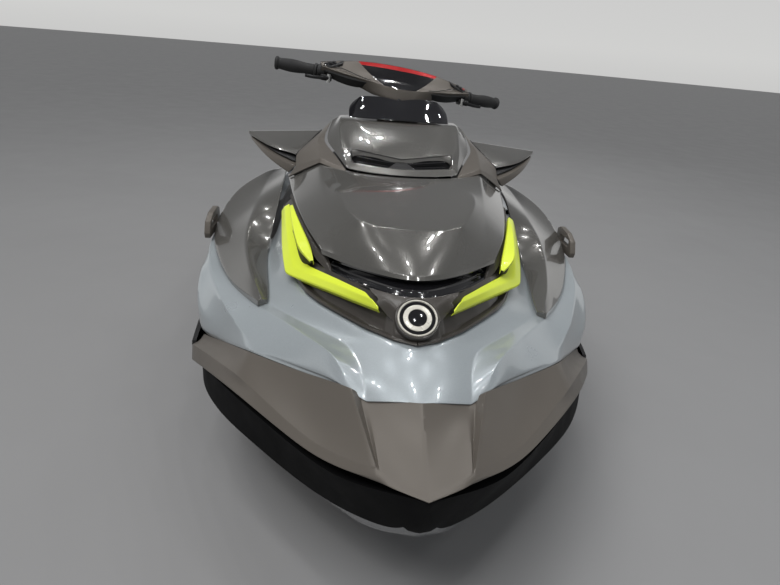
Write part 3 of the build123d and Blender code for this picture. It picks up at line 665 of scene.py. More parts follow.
sl = bpy.data.lights.new("soft", "SUN")
sl.energy = 1.9
sl.angle = radians(36)
so = link(bpy.data.objects.new("soft", sl))
so.rotation_mode = "QUATERNION"
so.rotation_quaternion = Vector((-0.22, 0.36, -1)).to_track_quat("-Z", "Y")
so.visible_glossy = False
for o in (area("key", (3.2, -2.6, 4.2), (0.8, 0, 0.2), 2.6, 46, 1.6, (1.0, 0.985, 0.96)),
          area("front", (5.6, 0.4, 2.2), (1.5, 0, 0.2), 1.8, 16, 1.2, (1.0, 0.98, 0.95)),
          area("fill", (2.6, 3.9, 2.8), (0.8, 0, 0.2), 2.4, 22, 1.8, (0.86, 0.93, 1.0)),
          area("rear", (-4.2, 1.6, 3.2), (-0.6, 0, 0.2), 2.4, 30, 1.6)):
    o.visible_glossy = False
k = 0
for ix in range(6):
    for iy in range(5):
        if (ix + iy) % 2 == 0:
            continue
        for d in (-0.13, 0.13):
            area("spot%d" % k, (3.9 - ix * 1.0 + d, -2.1 + iy * 1.05 + d * 0.4, 3.9), (3.9 - ix * 1.0 + d, -2.1 + iy * 1.05 + d * 0.4, 0), 0.07, 4)
            k += 1

# ---------------------------------------------------------------------------
# tables of the hull
# ---------------------------------------------------------------------------
HULL = [
    (0, 22, 430, 165, 496, 205, 540, 280), (300, 8, 445, 160, 516, 200, 572, 284), (1000, 0, 455, 158, 538, 200, 604, 295),
    (1800, 0, 452, 165, 546, 205, 613, 312), (2300, 8, 425, 180, 540, 210, 610, 335), (2754, 50, 352, 190, 602, 296, 603, 347),
    (2955, 102, 300, 205, 492, 300, 484, 388), (3090, 146, 240, 226, 402, 334, 398, 424), (3245, 206, 158, 240, 214, 292, 266, 430),
    (3340, 273, 78, 289, 94, 314, 176, 436), (3400, 339, 14, 345, 24, 352, 92, 460), (3440, 462, 4, 464, 7, 467, 10, 478)]


def rail_at(x, k):
    for a, b in zip(HULL, HULL[1:]):
        if a[0] <= x <= b[0]:
            return a[k] + (b[k] - a[k]) * (x - a[0]) / (b[0] - a[0])
    return HULL[0][k] if x < 0 else HULL[-1][k]


def rail_y(x):
    return rail_at(x, 6)


def rail_z(x):
    return rail_at(x, 7)


# --- hull -------------------------------------------------------------------
c = Cage()
rows = []
for x, kz, cy, cz, by, bz, ry, rz in HULL:
    u = 0.36
    rows.append([(x, 0, kz), (x, 0.10 * cy, kz + 0.06 * (cz - kz)), (x, 0.42 * cy, kz + 0.36 * (cz - kz)), (x, 0.47 * cy, kz + 0.37 * (cz - kz)),
                 (x, 0.92 * cy, kz + 0.90 * (cz - kz)), (x, cy, cz), (x, by, bz), (x, by + 0.12 * (ry - by), bz + 0.12 * (rz - bz)), (x, ry - 3, rz - 1)])
c.grid(rows, ms=lambda r, j: 1 if (j >= 6 or r >= 10) else 0)
for k, val in ((0, 0.35), (2, 0.6), (3, 0.6), (5, 0.75), (6, 0.9), (7, 0.4), (8, 1.0)):
    c.crease([r[k] for r in rows], val)
c.face(rows[0] + [(0, 0, 279)], 0)
c.crease(rows[0] + [(0, 0, 279)], 1.0)
for a, b in zip(rows, rows[1:]):
    za, zb = a[-1], b[-1]
    c.face([a[-1], b[-1], (b[0][0], 0, b[-1][2]), (a[0][0], 0, a[-1][2])], 1)
c.face([rows[-1][k] for k in range(len(rows[-1]))] + [(rows[-1][0][0], 0, rows[-1][-1][2])], 1)
c.mirrored()
hull = c.build("hull_shell", ["hullgrey", "band"], level=3, sharp=28)


def cutter(lo, hi):
    return rbox("cut", lo, hi, 14, "matte", seg=3)


cuts = [cutter((-40, -142, -60), (512, 142, 268))]
cuts.append(plate("cut2", [(511, 78, 196), (620, 78, 150), (990, 78, 14), (990, 78, -40), (640, 78, -40), (511, 78, 30)], (0, 1, 0), 156, "matte", r=6))
boolean(hull, cuts)
lo_t, hi_t = W((-41, -143, -61)), W((513, 143, 269))
for p in hull.data.polygons:
    q = p.center
    if (abs(q.y) < 0.1425 and q.x < W((512.5, 0, 0)).x and q.z < W((0, 0, 268.5)).z and not (q.x < W((0.5, 0, 0)).x)) or \
       (abs(q.y) < 0.0785 and W((505, 0, 0)).x < q.x < W((990.5, 0, 0)).x and q.z > W((0, 0, 10)).z and q.z < W((0, 0, 200)).z):
        p.material_index = 1
done(hull, "craft", "hull_gelcoat", "hull")

# --- bow bumper ---------------------------------------------------------------
S = [(3262, 0, 556), (3239, 55, 545), (3215, 108, 531), (3206, 143, 549), (3150, 205, 534), (3097, 258, 514), (2991, 392, 498), (2851, 480, 440), (2712, 573, 383)]
L_ = [(3442, 0, 474), (3423, 48, 479), (3402, 90, 481), (3394, 104, 480), (3324, 196, 458), (3245, 272, 453), (3092, 404, 446), (2930, 508, 396), (2770, 596, 330)]
B1, B2 = (3386, 87, 493), (3384, 92, 494)
CR = [None, None, None, None, (3302, 198, 468), (3222, 268, 466), (3052, 406, 467), (2894, 507, 420), (2738, 601, 362)]
c = Cage()
rows = []
for i, (s, l) in enumerate(zip(S, L_)):
    if i == 2:
        b = B1
    elif i == 3:
        b = B2
    elif CR[i]:
        b = CR[i]
    else:
        b = lerp(s, l, 0.93)
    n = (-5, 0, -4) if i in (0, 1) else (-5, -3, -5)
    k = 0.0 if i in (2, 3, 6) else 1.0
    m1 = plus(lerp(s, b, 0.33), n[0] * k, n[1] * k, n[2] * k)
    m2 = plus(lerp(s, b, 0.68), n[0] * k, n[1] * k, n[2] * k)
    s0 = plus(s, -7, 0, 2)
    under = plus(l, -8, -6 if i else 0, -9)
    low = plus(l, -26, -18 if i else 0, -16)
    rows.append([plus(s, -12, -6 if i else 0, -8), s, lerp(s, m1, 0.08), m1, m2, lerp(m2, b, 0.86), b, l, under, low])
c.grid(rows[:3])
groove = [plus(lerp(a, b, 0.5), -9 * w, -1 * w, -9 * w) for a, b, w in zip(rows[2], rows[3], (0, 0.7, 0.8, 0.9, 0.8, 0.5, 0, 0, 0, 0))]
c.grid([rows[2], groove, rows[3]])
c.crease(groove[1:7], 0.9)
c.grid(rows[3:])
for j, val in ((1, 0.9), (7, 0.95), (8, 0.3)):
    c.crease([r[j] for r in rows], val)
c.crease([r[6] for r in rows[5:]], 0.85)
c.crease([r[6] for r in rows[3:6]], 0.5)
c.crease(rows[0][1:9], 1.0)
c.crease(rows[2][1:7], 1.0)
c.crease(rows[3][1:7], 1.0)
c.crease(rows[6][1:7], 0.8)
c.crease(rows[-1], 0.9)
c.corner(rows[0][7], 1.0)
c.corner(rows[0][1], 0.8)
for q in (rows[2][1], rows[3][1], rows[6][1], rows[6][6]):
    c.corner(q, 0.8)
for q in rows[-1][1:8]:
    c.corner(q, 0.8)
c.mirrored()
ob = c.build("bow_bumper_shell", "taupe", level=3, out=(0.7, 0.3, 0.6), thick=0.005, bevel=0.001)
done(ob, "craft", "trim_taupe", "bow_bumper")

# --- front deck ------------------------------------------------------------------
V = [(3225, 111, 531), (3185, 117, 551), (3145, 126, 560), (3104, 136, 569), (3075, 152, 575), (3020, 204, 571), (2960, 262, 566), (2900, 312, 560), (2838, 367, 555),
     (2795, 372, 558), (2750, 378, 560), (2640, 396, 566), (2530, 411, 576), (2450, 404, 590), (2390, 412, 590), (2225, 422, 596), (2034, 430, 610)]
K = [(3196, 150, 538), (3170, 158, 562), (3135, 184, 585), (3100, 208, 583), (3065, 234, 580), (3025, 262, 575), (2985, 290, 571), (2915, 340, 561), (2841, 393, 551),
     (2798, 421, 546), (2740, 456, 541), (2675, 500, 538), (2560, 545, 541), (2450, 578, 556), (2362, 600, 572), (2225, 598, 616), (2034, 580, 632)]
SE = [(3196, 150, 538), (3172, 177, 534), (3146, 204, 528), (3120, 231, 521), (3095, 257, 514), (3060, 302, 509), (3024, 347, 503), (2989, 391, 498), (2920, 435, 469),
      (2851, 480, 440), (2781, 526, 411), (2711, 571, 383), (2600, 602, 345), (2481, 606, 340), (2383, 608, 338), (2240, 610, 334), (2034, 610, 322)]
R = {7: (2955, 400, 507), 8: (2883, 442, 518), 9: (2836, 474, 528), 10: (2761, 509, 531), 11: (2708, 531, 533), 12: (2600, 571, 549), 13: (2481, 606, 560),
     14: (2383, 618, 566), 15: (2240, 613, 598), 16: (2034, 603, 614)}
QF = {10: ((2787, 532, 424), (2780, 536, 462)), 11: ((2716, 590, 402), (2700, 594, 456)), 12: ((2604, 609, 372), (2610, 608, 524)), 13: ((2484, 613, 366), (2490, 615, 547))}
FT = [None, None, None, None, (3098, 48, 607), (3062, 94, 606), (3018, 138, 606), (2960, 190, 606), (2900, 238, 604), (2808, 284, 602), (2724, 316, 617), (2640, 342, 643),
      (2530, 360, 676), (2440, 370, 706), (2390, 376, 716), (2225, 386, 716), (2034, 392, 700)]
c = Cage()
# fender, seam to the ridge beside the nose
fen = []
for i in range(17):
    s, k = SE[i], K[i]
    if i == 0:
        fen.append([s] * 6)
        continue
    if i < 7:
        t = 0.12 if i > 1 else 0.2
        a = plus(lerp(s, k, t), 4, 3, 4)
        r = plus(lerp(s, k, 0.40), 3, 2, 6)
        b = plus(lerp(s, k, 0.72), 1, 1, 4)
        fen.append([s, plus(s, -2, -2, 7), a, r, b, k])
    else:
        r = R[i]
        out = 0 if i < 10 else (10 if i < 16 else 8)
        a1 = plus(lerp(s, r, 0.10), 0, 1 + out * 0.3, 3)
        a2 = plus(lerp(s, r, 0.62), 0, out, 0)
        if i in QF:
            a1, a2 = QF[i]
        b = plus(lerp(r, k, 0.5), 0, 0, 2)
        fen.append([s, a1, a2, r, b, k])
c.grid(fen)
c.crease([r[3] for r in fen[7:]], 0.85)
c.crease([r[2] for r in fen[10:14]], 0.6)
c.crease([r[0] for r in fen], 0.9)
c.crease([r[1] for r in fen[1:10]], 0.3)
c.crease([r[5] for r in fen], 0.93)
# wall between the ridge and the valley
wall = [[k, lerp(k, v, 0.5) if i != 0 else lerp(k, v, 0.5), v] for i, (k, v) in enumerate(zip(K, V))]
# faces of rows 12 to 14 take matte black: painted shade standing in for the shadow deep in the valley
c.grid(wall, ms=lambda r, j: 1 if 12 <= r < 15 else 0)
c.crease(V[0:3], 0.85)
c.crease(V[2:5], 0.8)
c.crease(V[4:9], 0.6)
c.crease([V[0], wall[0][1], K[0]], 0.9)
# tongue ahead of the nose
T = [
    [(3258, 0, 553), (3248, 42, 549), (3238, 78, 541), V[0]],
    [(3222, 0, 567), (3215, 42, 564), (3205, 80, 557), V[1]],
    [(3182, 0, 579), (3176, 43, 577), (3165, 84, 570), V[2]],
    [(3146, 0, 589), (3140, 45, 587), (3130, 86, 581), V[3]],
    [(3116, 0, 607), (3098, 48, 607), (3086, 100, 592), V[4]],
]
c.grid([r[::-1] for r in T])
c.crease(T[0], 0.9)
c.crease([r[0] for r in T], 0.0)
lap = [[T[4][1], T[4][2], T[4][3]]]
for i in range(5, 17):
    f, v = FT[i], V[i]
    m = plus(lerp(f, v, 0.5), 0, 0, -5 if i < 9 else -12)
    lap.append([f, m, v])
# faces from row 9 on take matte black: painted shade in the valley beside the nose trim
c.grid([r[::-1] for r in lap], ms=lambda r, j: 1 if r >= 9 else 0)
# in under the nose trim
inn = [[T[4][0], (3080, 0, 600)], [T[4][1], (3066, 24, 600)]]
for i in range(5, 17):
    f = FT[i]
    inn.append([f, plus(f, -30 if i < 9 else 0, -30, -8)])
# faces from row 8 on take matte black: painted shade under the nose trim
c.grid(inn, ms=lambda r, j: 1 if r >= 8 else 0)
# aft end down to the footwell
aft = [fen[16][0], fen[16][1], fen[16][2], fen[16][3], fen[16][4], fen[16][5], wall[16][1], V[16], lap[12][1], FT[16], inn[-1][1]]
low = [(2034, 606, 300)] * 3 + [(2034, 590, 300), (2034, 585, 300), (2034, 560, 300), (2034, 500, 300), (2034, 430, 300), (2034, 400, 300), (2034, 380, 300), (2034, 205, 300)]
mid = [lerp(a, b, 0.5) for a, b in zip(aft, low)]
aft[-1] = inn[-1][1]
c.grid([aft[6:], mid[6:], low[6:]])
c.crease(aft, 0.8)
c.mirrored()
ob = c.build("deck_shell", ["silver", "matte"], level=3, out=(0.3, 0.2, 0.9), thick=0.005, bevel=0.0014, sharp=30)
done(ob, "craft", "deck_silver", "bow_deck")


# --- nose trim: fascia ---------------------------------------------------------
def blend_run(a, b, n):
    return [resample(a, n), resample(b, n)]


FO = [(3118, 0, 604), (3098, 48, 604), (3044, 114, 604), (2970, 182, 604), (2916, 227, 603), (2860, 262, 602), (2796, 288, 601), (2640, 342, 644), (2440, 370, 706)]
FI = [(3032, 0, 677), (3018, 48, 676), (2926, 150, 670), (2850, 215, 669), (2780, 256, 662), (2620, 300, 700), (2440, 340, 738)]
NS, NT = 150, 30
fo = resample(FO[:7], 100)[:-1] + resample(FO[6:], 51)
fi = resample(FI[:5], 100)[:-1] + resample(FI[4:], 51)


def bumpf(t, a, b, w):
    """1 between a and b, falling to 0 over w at both ends"""
    def ss(q):
        q = max(0.0, min(1.0, q))
        return q * q * (3 - 2 * q)
    return ss((t - a) / w + 0.5) * ss((b - t) / w + 0.5)


c = Cage()
rows = []
for i, (a, b) in enumerate(zip(fo, fi)):
    a_, b_ = Vector(a), Vector(b)
    d = b_ - a_
    tn = Vector(fo[min(i + 1, len(fo) - 1)]) - Vector(fo[max(i - 1, 0)])
    n = tn.cross(d).normalized()
    if n.z < 0:
        n = -n
    row = []
    ln = d.length
    y = a[1]
    open_ = max(0.0, min(1.0, (y - 52) / 26.0)) if a[0] > 2700 else max(0.0, min(1.0, (a[0] - 2560) / 120.0))
    for j in range(NT + 1):
        t = j / NT
        s = t * ln
        h = 0.0
        h += 4.0 * bumpf(s, -6, 9, 5)                       # rim
        h -= 13.0 * open_ * bumpf(s, 11, min(76, 0.60 * ln), 7)   # recess
        h += 3.0 * (1 - open_) * bumpf(s, 12, ln, 8)
        row.append(tuple(a_ + d * t + n * h))
    rows.append(row)
c.grid(rows)
c.mirrored()
fas = c.build("fascia_shell", "taupe_dark", level=0, out=(0.7, 0.1, 0.8), thick=0.004, bevel=0.0, sharp=40)
done(fas, "craft", "trim_taupe", "fascia")

# shield that carries the round badge
BN = Vector((0.6, 0, 0.8))
BC = Vector((3069, 0, 643))
c = Cage()
SH = [
    [(3098, 0, 628), (3084, 30, 630), (3064, 54, 634), (3040, 72, 645), (3024, 92, 662)],
    [(3092, 0, 645), (3078, 26, 650), (3056, 44, 656), (3034, 62, 664), (3018, 84, 670)],
    [(3052, 0, 666), (3045, 30, 666), (3032, 52, 670), (3016, 76, 675), (3001, 104, 676)],
    [(3032, 0, 683), (3026, 34, 681), (3013, 60, 681), (3000, 84, 682), (2986, 108, 682)],
]
c.grid(SH)
c.crease(SH[0], 0.5)
c.crease([r[-1] for r in SH], 0.6)
c.mirrored()
ob = c.build("fascia_shield", "taupe_dark", level=3, out=(0.6, 0, 0.8), thick=0.006, bevel=0.001)
done(ob, "craft", "trim_taupe")

# round badge, left plain: dark dome, bright ring, dark collar
prof = [(-14, 0), (-14, 50), (4, 52), (8, 50.5), (8.5, 48), (6.5, 47.4), (6.5, 46.2), (9, 45.6), (10, 44.5), (10, 42.5), (9, 41.5), (7.6, 41), (7.4, 33), (8.6, 32.4), (8.9, 31.4), (8.9, 22), (8.4, 21.4), (7.4, 20.6), (8.4, 14), (9.2, 7), (9.4, 0)]


def bm_(i):
    return 0 if i < 6 else 1 if i < 11 else 2 if i < 12 else 1 if i < 16 else 2


ob = lathe("badge_disc", prof, BC + BN * 6.0, BN, ["taupe_dark", "cream", "gloss"], seg=72, mfun=bm_)
done(ob, "craft", "badge", "badge")

# --- grille strip under the hood ------------------------------------------------
GO = [(3044, 0, 673), (3028, 48, 672), (2976, 104, 670), (2924, 152, 668), (2876, 190, 667), (2836, 218, 665)]
GI = [(2976, 0, 700), (2962, 46, 699), (2920, 98, 694), (2880, 140, 688), (2843, 172, 683), (2812, 196, 679)]
c = Cage()
rows = []
for a, b in zip(GO, GI):
    rows.append([plus(a, -6, -1, -8), a, lerp(a, b, 0.16), plus(lerp(a, b, 0.24), -2, 0, -3), plus(lerp(a, b, 0.50), -2, 0, -3), lerp(a, b, 0.56), plus(lerp(a, b, 0.62), -1, 0, -2), plus(lerp(a, b, 0.94), -1, 0, -3), b])
c.grid(rows)
for j in (1, 2, 3, 4, 5, 6, 7):
    c.crease([r[j] for r in rows], 0.55)
c.crease([r[0] for r in rows], 0.3)
c.mirrored()
ob = c.build("grille_strip", "gloss", level=3, out=(0.5, 0, 0.8), thick=0.004, bevel=0.0008)
done(ob, "craft", "black_gloss", "grille")

# --- hood ---------------------------------------------------------------------------
H = [
    [(3003, 0, 707), (2960, 80, 704), (2897, 150, 697), (2858, 192, 698), (2829, 228, 700)],
    [(2996, 0, 716), (2952, 82, 713), (2888, 150, 706), (2850, 193, 708), (2822, 231, 710)],
    [(2920, 0, 752), (2900, 84, 750), (2852, 146, 742), (2808, 206, 731), (2776, 252, 722)],
    [(2836, 0, 781), (2828, 84, 782), (2796, 136, 785), (2752, 212, 752), (2716, 276, 731)],
    [(2770, 0, 790), (2768, 92, 791), (2740, 160, 795), (2694, 222, 768), (2644, 296, 738)],
    [(2650, 0, 805), (2650, 106, 806), (2650, 198, 806), (2612, 236, 790), (2530, 325, 747)],
    [(2550, 0, 816), (2550, 112, 818), (2548, 212, 819), (2506, 250, 809), (2404, 350, 754)],
    [(2470, 0, 824), (2467, 112, 827), (2462, 188, 831), (2410, 257, 837), (2270, 372, 763)],
    [(2452, 0, 826), (2449, 110, 829), (2441, 176, 834), (2378, 262, 844), (2240, 379, 766)],
]
c = Cage()
c.grid(H)
c.crease([r[3] for r in H[1:]], 0.75)
c.crease([r[2] for r in H[3:7]], 0.92)
c.crease([H[3][0], H[3][1], H[3][2]], 0.92)
c.corner(H[3][2], 0.6)
c.crease(H[1], 0.55)
c.crease([H[3][1], H[4][1]], 0.6)
c.corner(H[-1][3])
c.corner(H[0][4], 0.7)
c.corner(H[-1][4], 1.0)
c.mirrored()
ob = c.build("hood_shell", "panel", level=4, out=(0.3, 0, 1), thick=0.005, bevel=0.0012, sharp=34)
done(ob, "craft", "panel_grey", "hood")

# --- accents ---------------------------------------------------------------------------
AO = [(3048, 88, 655), (2980, 148, 645), (2905, 214, 635), (2779, 327, 617), (2716, 342, 640), (2640, 354, 664), (2566, 362, 688), (2500, 370, 708)]
AI = [(2995, 120, 671), (2936, 164, 666), (2872, 210, 659), (2789, 273, 650), (2712, 297, 680), (2640, 318, 702), (2570, 333, 721), (2512, 344, 735)]
c = Cage()
rows = []
for i, (a, b) in enumerate(zip(AO, AI)):
    up = 4 if i < 7 else 2
    rows.append([plus(a, -6, -4, -10), a, plus(a, 0, 0, up + 1), plus(lerp(a, b, 0.45), 2, 2, up + 5), plus(lerp(a, b, 0.94), 0, 0, up + 2), plus(b, -3, -3, -8)])
c.grid(rows)
for j, val in ((1, 0.7), (2, 0.7), (3, 0.45), (4, 0.7)):
    c.crease([r[j] for r in rows], val)
c.crease(rows[0], 0.8)
c.crease(rows[-1], 0.8)
c.crease(rows[3][1:5], 0.45)
for r in (rows[0], rows[-1]):
    for p in (r[0], r[-1]):
        c.corner(p)
c.mirrored()
acc1 = c.build("acc1", "yellow", level=3, out=(0.4, 0.4, 0.8), thick=0.003, bevel=0.0008)
BO = [(2826, 258, 678), (2812, 280, 696), (2788, 294, 707), (2740, 306, 714), (2664, 322, 724), (2596, 334, 733), (2538, 341, 738)]
BI = [(2823, 250, 679), (2806, 254, 690), (2784, 260, 701), (2736, 275, 713), (2668, 297, 725), (2604, 316, 736), (2548, 330, 742)]
c = Cage()
rows = []
for a, b in zip(BO, BI):
    f_ = min(1.0, (2830 - a[0]) / 60.0)
    rows.append([plus(a, -2 * f_, -3 * f_, -16 * f_ - 3), a, plus(lerp(a, b, 0.08), 0, 0, 2.5 * f_), plus(lerp(a, b, 0.85), 0, 0, 4 * f_), plus(b, 0, 0, 1), plus(b, -2, -2, -12)])
c.grid(rows)
for j in (1, 2, 3, 4):
    c.crease([r[j] for r in rows], 0.6)
c.crease(rows[0], 0.85)
c.crease(rows[-1], 0.85)
for r in (rows[0], rows[-1]):
    for p in (r[0], r[-1]):
        c.corner(p)
c.mirrored()
acc2 = c.build("acc2", "yellow", level=3, out=(0.4, 0.4, 0.8), thick=0.003, bevel=0.0008)
# matte black sheet under the free end of the upper blade: painted shadow standing in for the shade under the overhang
c = Cage()
c.grid([[(2820, 252, 672), (2806, 258, 664), (2794, 266, 650)], [(2806, 276, 688), (2796, 278, 670), (2786, 280, 648)], [(2780, 288, 697), (2770, 290, 680), (2754, 294, 656)],
        [(2736, 300, 704), (2728, 301, 692), (2712, 304, 670)], [(2664, 318, 714), (2660, 319, 706), (2650, 321, 694)]])
c.mirrored()
blade_shadow_sheet = c.build("blade_shadow_sheet", "matte", level=2, out=(0.6, 0.6, 0.3), thick=0.003, bevel=0.0)
ob = join("accent_blades", [acc1, acc2, blade_shadow_sheet])
done(ob, "craft", "accent_yellow", "accents")

# dark filler between the hood edge and the blades
c = Cage()
rows = []
for a, b in zip([(2872, 200, 661), (2842, 222, 670), (2806, 250, 680), (2736, 272, 700), (2650, 299, 720), (2560, 324, 735), (2440, 350, 746)], [(2868, 197, 664), (2824, 208, 694), (2776, 236, 704), (2706, 262, 716), (2630, 288, 728), (2530, 314, 738), (2404, 346, 744)]):
    rows.append([a, plus(lerp(a, b, 0.5), 0, 0, 2), plus(b, 0, 0, -4)])
c.grid(rows)
c.mirrored()
ob = c.build("nose_filler", "taupe_dark", level=2, out=(0.3, 0.3, 0.9), thick=0.003, bevel=0.0)
done(ob, "craft", "trim_taupe")

# --- side panels -------------------------------------------------------------------------
SD = [
    [(2854, 389, 569), (2849, 379, 572), (2838, 367, 567)],
    [(2804, 421, 562), (2790, 404, 582), (2794, 371, 569)],
    [(2756, 452, 553), (2722, 431, 592), (2742, 379, 572)],
    [(2669, 503, 546), (2632, 454, 608), (2640, 396, 577)],
    [(2578, 544, 552), (2544, 474, 624), (2540, 408, 585)],
    [(2452, 592, 567), (2442, 476, 659), (2448, 405, 640)],
    [(2359, 613, 589), (2348, 473, 678), (2377, 396, 690)],
    [(2288, 610, 622), (2280, 471, 694), (2299, 390, 744)],
    [(2184, 574, 680), (2196, 470, 708), (2165, 394, 752)],
    [(2120, 524, 712), (2126, 462, 726), (2112, 396, 757)],
    [(2068, 470, 736), (2068, 440, 744), (2068, 398, 757)],
]
c = Cage()
rows = []
for r in SD:
    o, m, i = r
    rows.append([plus(o, 0, 0, -14), o, plus(lerp(o, m, 0.5), 0, 0, 1), m, lerp(m, i, 0.5), i, plus(i, 0, 2, -14)])
c.grid(rows)
c.face(rows[0])
for j, val in ((1, 0.9), (3, 0.93), (5, 0.9)):
    c.crease([r[j] for r in rows], val)
c.crease(rows[0], 0.8)
c.crease(rows[-1], 0.8)
for r in (rows[0], rows[-1]):
    for p in (r[0], r[-1]):
        c.corner(p)
for q in (rows[0][1], rows[0][5], rows[-1][1], rows[-1][5]):
    c.corner(q, 0.8)
c.mirrored()
ob = c.build("side_panel_shells", "panel", level=3, out=(0.1, 0.3, 0.9), thick=0.005, bevel=0.0012, sharp=34)
done(ob, "craft", "panel_grey", "side_panels")

# --- front lid ----------------------------------------------------------------------------
LIDR = [
    [(2446, 0, 831), (2444, 55, 832), (2441, 110, 834), (2434, 166, 840), (2431, 174, 842), (2428, 178, 844)],
    [(2424, 0, 848), (2423, 48, 849), (2420, 90, 852), (2414, 162, 857), (2404, 180, 856), (2392, 190, 852)],
    [(2362, 0, 867), (2358, 46, 872), (2353, 84, 879), (2350, 168, 890), (2331, 196, 886), (2317, 216, 868)],
    [(2310, 0, 905), (2308, 52, 905), (2302, 102, 905), (2290, 186, 911), (2284, 202, 905), (2290, 228, 876)],
    [(2190, 0, 958), (2189, 76, 958), (2188, 152, 958), (2166, 190, 959), (2160, 208, 957), (2212, 256, 893)],
    [(2112, 0, 962), (2112, 82, 962), (2110, 162, 963), (2104, 190, 962), (2100, 207, 960), (2124, 234, 944)],
]
c = Cage()
for i in range(5):
    for j in range(5):
        if i == 1 and j < 3:
            continue
        a, b = LIDR[i], LIDR[i + 1]
        c.face([a[j], a[j + 1], b[j + 1], b[j]], 0)
for r in (1, 2):
    c.crease(LIDR[r][:4], 0.9)
c.crease([LIDR[1][3], LIDR[2][3]], 0.9)
c.crease([r[4] for r in LIDR[1:]], 0.75)
c.crease(LIDR[1][3:], 0.4)
c.crease(LIDR[4][2:5], 0.4)
c.crease([r[2] for r in LIDR[2:5]], 0.8)
c.crease([LIDR[2][3], LIDR[3][3]], 0.3)
c.corner(LIDR[2][2], 0.5)
c.corner(LIDR[4][2], 0.6)
for q in (LIDR[0][5], LIDR[-1][5], LIDR[1][3], LIDR[2][3]):
    c.corner(q, 0.9)
# turned down lips round the vent
VB = [plus(q, -8, -2 if q[1] else 0, -15) for q in LIDR[1][:4]]
VT = [plus(q, 2, -2 if q[1] else 0, -15) for q in LIDR[2][:4]]
c.grid([LIDR[1][:4], VB])
c.grid([LIDR[2][:4], VT])
c.grid([[LIDR[1][3], VB[3]], [LIDR[2][3], VT[3]]])
c.mirrored()
ob = c.build("lid_cowl", "panel", level=4, out=(0.5, 0, 1), thick=0.005, bevel=0.0011, sharp=34)
done(ob, "front_lid", "panel_grey", "front_cowl")

# vent: deep dark tray with thin bars and a faceted prism in its middle
def slit(t, y):
    """point on the vent's mouth: t from the lower to the upper edge"""
    lo_ = (2424 - abs(y) * 0.062, y, 848 + max(0.0, abs(y) - 40) * 0.070)
    hi_ = (2362 - abs(y) * 0.075, y, 867 + abs(y) * 0.140)
    return lerp(lo_, hi_, t)


c = Cage()
tray = []
for t, dz in ((0.0, -4), (0.03, -18), (0.5, -26), (0.97, -20), (1.0, -4)):
    tray.append([plus(slit(t, y), -2, 0, dz) for y in (0, 55, 110, 158, 163)])
c.grid(tray)
c.crease([r[3] for r in tray], 0.8)
c.mirrored()
v1 = c.build("vt1", "band", level=2, out=(0.3, 0, 1), thick=0.003)
vobs = [v1]
for k in range(2):
    t = 0.30 + 0.36 * k
    for s in (-1, 1):
        cc = Cage()
        rr = []
        for y in (24, 60, 105, 150):
            p = plus(slit(t, y), -3, 0, -7)
            p = (p[0], s * p[1], p[2])
            rr.append([plus(p, 2.0, 0, -4), plus(p, 2.6, 0, -0.6), plus(p, 1.0, 0, 1.2), plus(p, -5, 0, 0.4), plus(p, -6.0, 0, -1.4), plus(p, -2, 0, -4)])
        cc.grid(rr, close=True)
        cc.face(rr[0])
        cc.face(rr[-1])
        vobs.append(cc.build("vb", "gloss", level=2, sharp=40))
c = Cage()
pr = [[plus(slit(0.02, 46), 1, 0, -3), plus(slit(0.60, 18), 0, 0, -1), plus(slit(0.86, 16), 0, 0, -9)], [plus(slit(0.02, 22), 2, 0, -2), plus(slit(0.62, 8), 0, 0, 0.5), plus(slit(0.86, 8), 0, 0, -9)],
      [plus(slit(0.02, 0), 2, 0, -2), plus(slit(0.62, 0), 0, 0, 0.5), plus(slit(0.86, 0), 0, 0, -9)]]
c.grid(pr)
c.crease([r[1] for r in pr], 0.8)
c.crease(pr[0], 0.8)
c.mirrored()
vobs.append(c.build("vp", "matte", level=2, out=(0.6, 0, 0.8), thick=0.003, bevel=0.0006))
# gloss frame round the mouth
fr = [plus(slit(0.0, y), 0.5, 0, -1.5) for y in (0, 48, 90, 156)] + [plus(slit(0.06, 162), 0, 0, -1.5), plus(slit(0.93, 165), 0, 0, -1.5)] + [plus(slit(1.0, y), 0, 0, -1.5) for y in (158, 90, 48, 0)]
fr = fr + [(q[0], -q[1], q[2]) for q in fr[::-1][1:-1]]
vobs.append(tube("vf", [tuple(q) for q in fr] + [fr[0]], 1.4, "gloss", seg=10))
ob = join("vent_bars", vobs)
done(ob, "front_lid", "black_gloss", "vent_grille")

# --- shoulders and mirrors -------------------------------------------------------------------
SHR = [
    [(2119, 240, 938), (2112, 256, 922), (2104, 270, 903)],
    [(2165, 252, 916), (2152, 268, 905), (2136, 290, 888)],
    [(2212, 262, 889), (2193, 281, 887), (2168, 311, 872)],
    [(2265, 244, 876), (2245, 278, 880), (2202, 332, 856)],
    [(2318, 222, 865), (2296, 271, 872), (2235, 351, 840)],
    [(2376, 200, 852), (2342, 266, 865), (2266, 350, 824)],
    [(2434, 179, 838), (2386, 259, 857), (2298, 347, 808)],
    [(2441, 181, 830), (2394, 264, 845), (2284, 374, 767)],
]
c = Cage()
rows = []
for r in SHR:
    rows.append([r[0], lerp(r[0], r[1], 0.5), r[1], plus(lerp(r[1], r[2], 0.5), 0, 0, 2), r[2]])
c.grid(rows)
c.crease([r[2] for r in rows], 0.8)
c.crease(rows[6], 0.8)
for q in (rows[0][0], rows[0][-1], rows[-1][0], rows[-1][-1]):
    c.corner(q)
c.mirrored()
ob = c.build("shoulder_shells", "taupe", level=3, out=(0.1, 0.4, 0.9), thick=0.005, bevel=0.001, sharp=34)
done(ob, "craft", "trim_taupe", "cowl_shoulders")


def glass_x(y):
    return 2104 - 0.3007 * (y - 272)


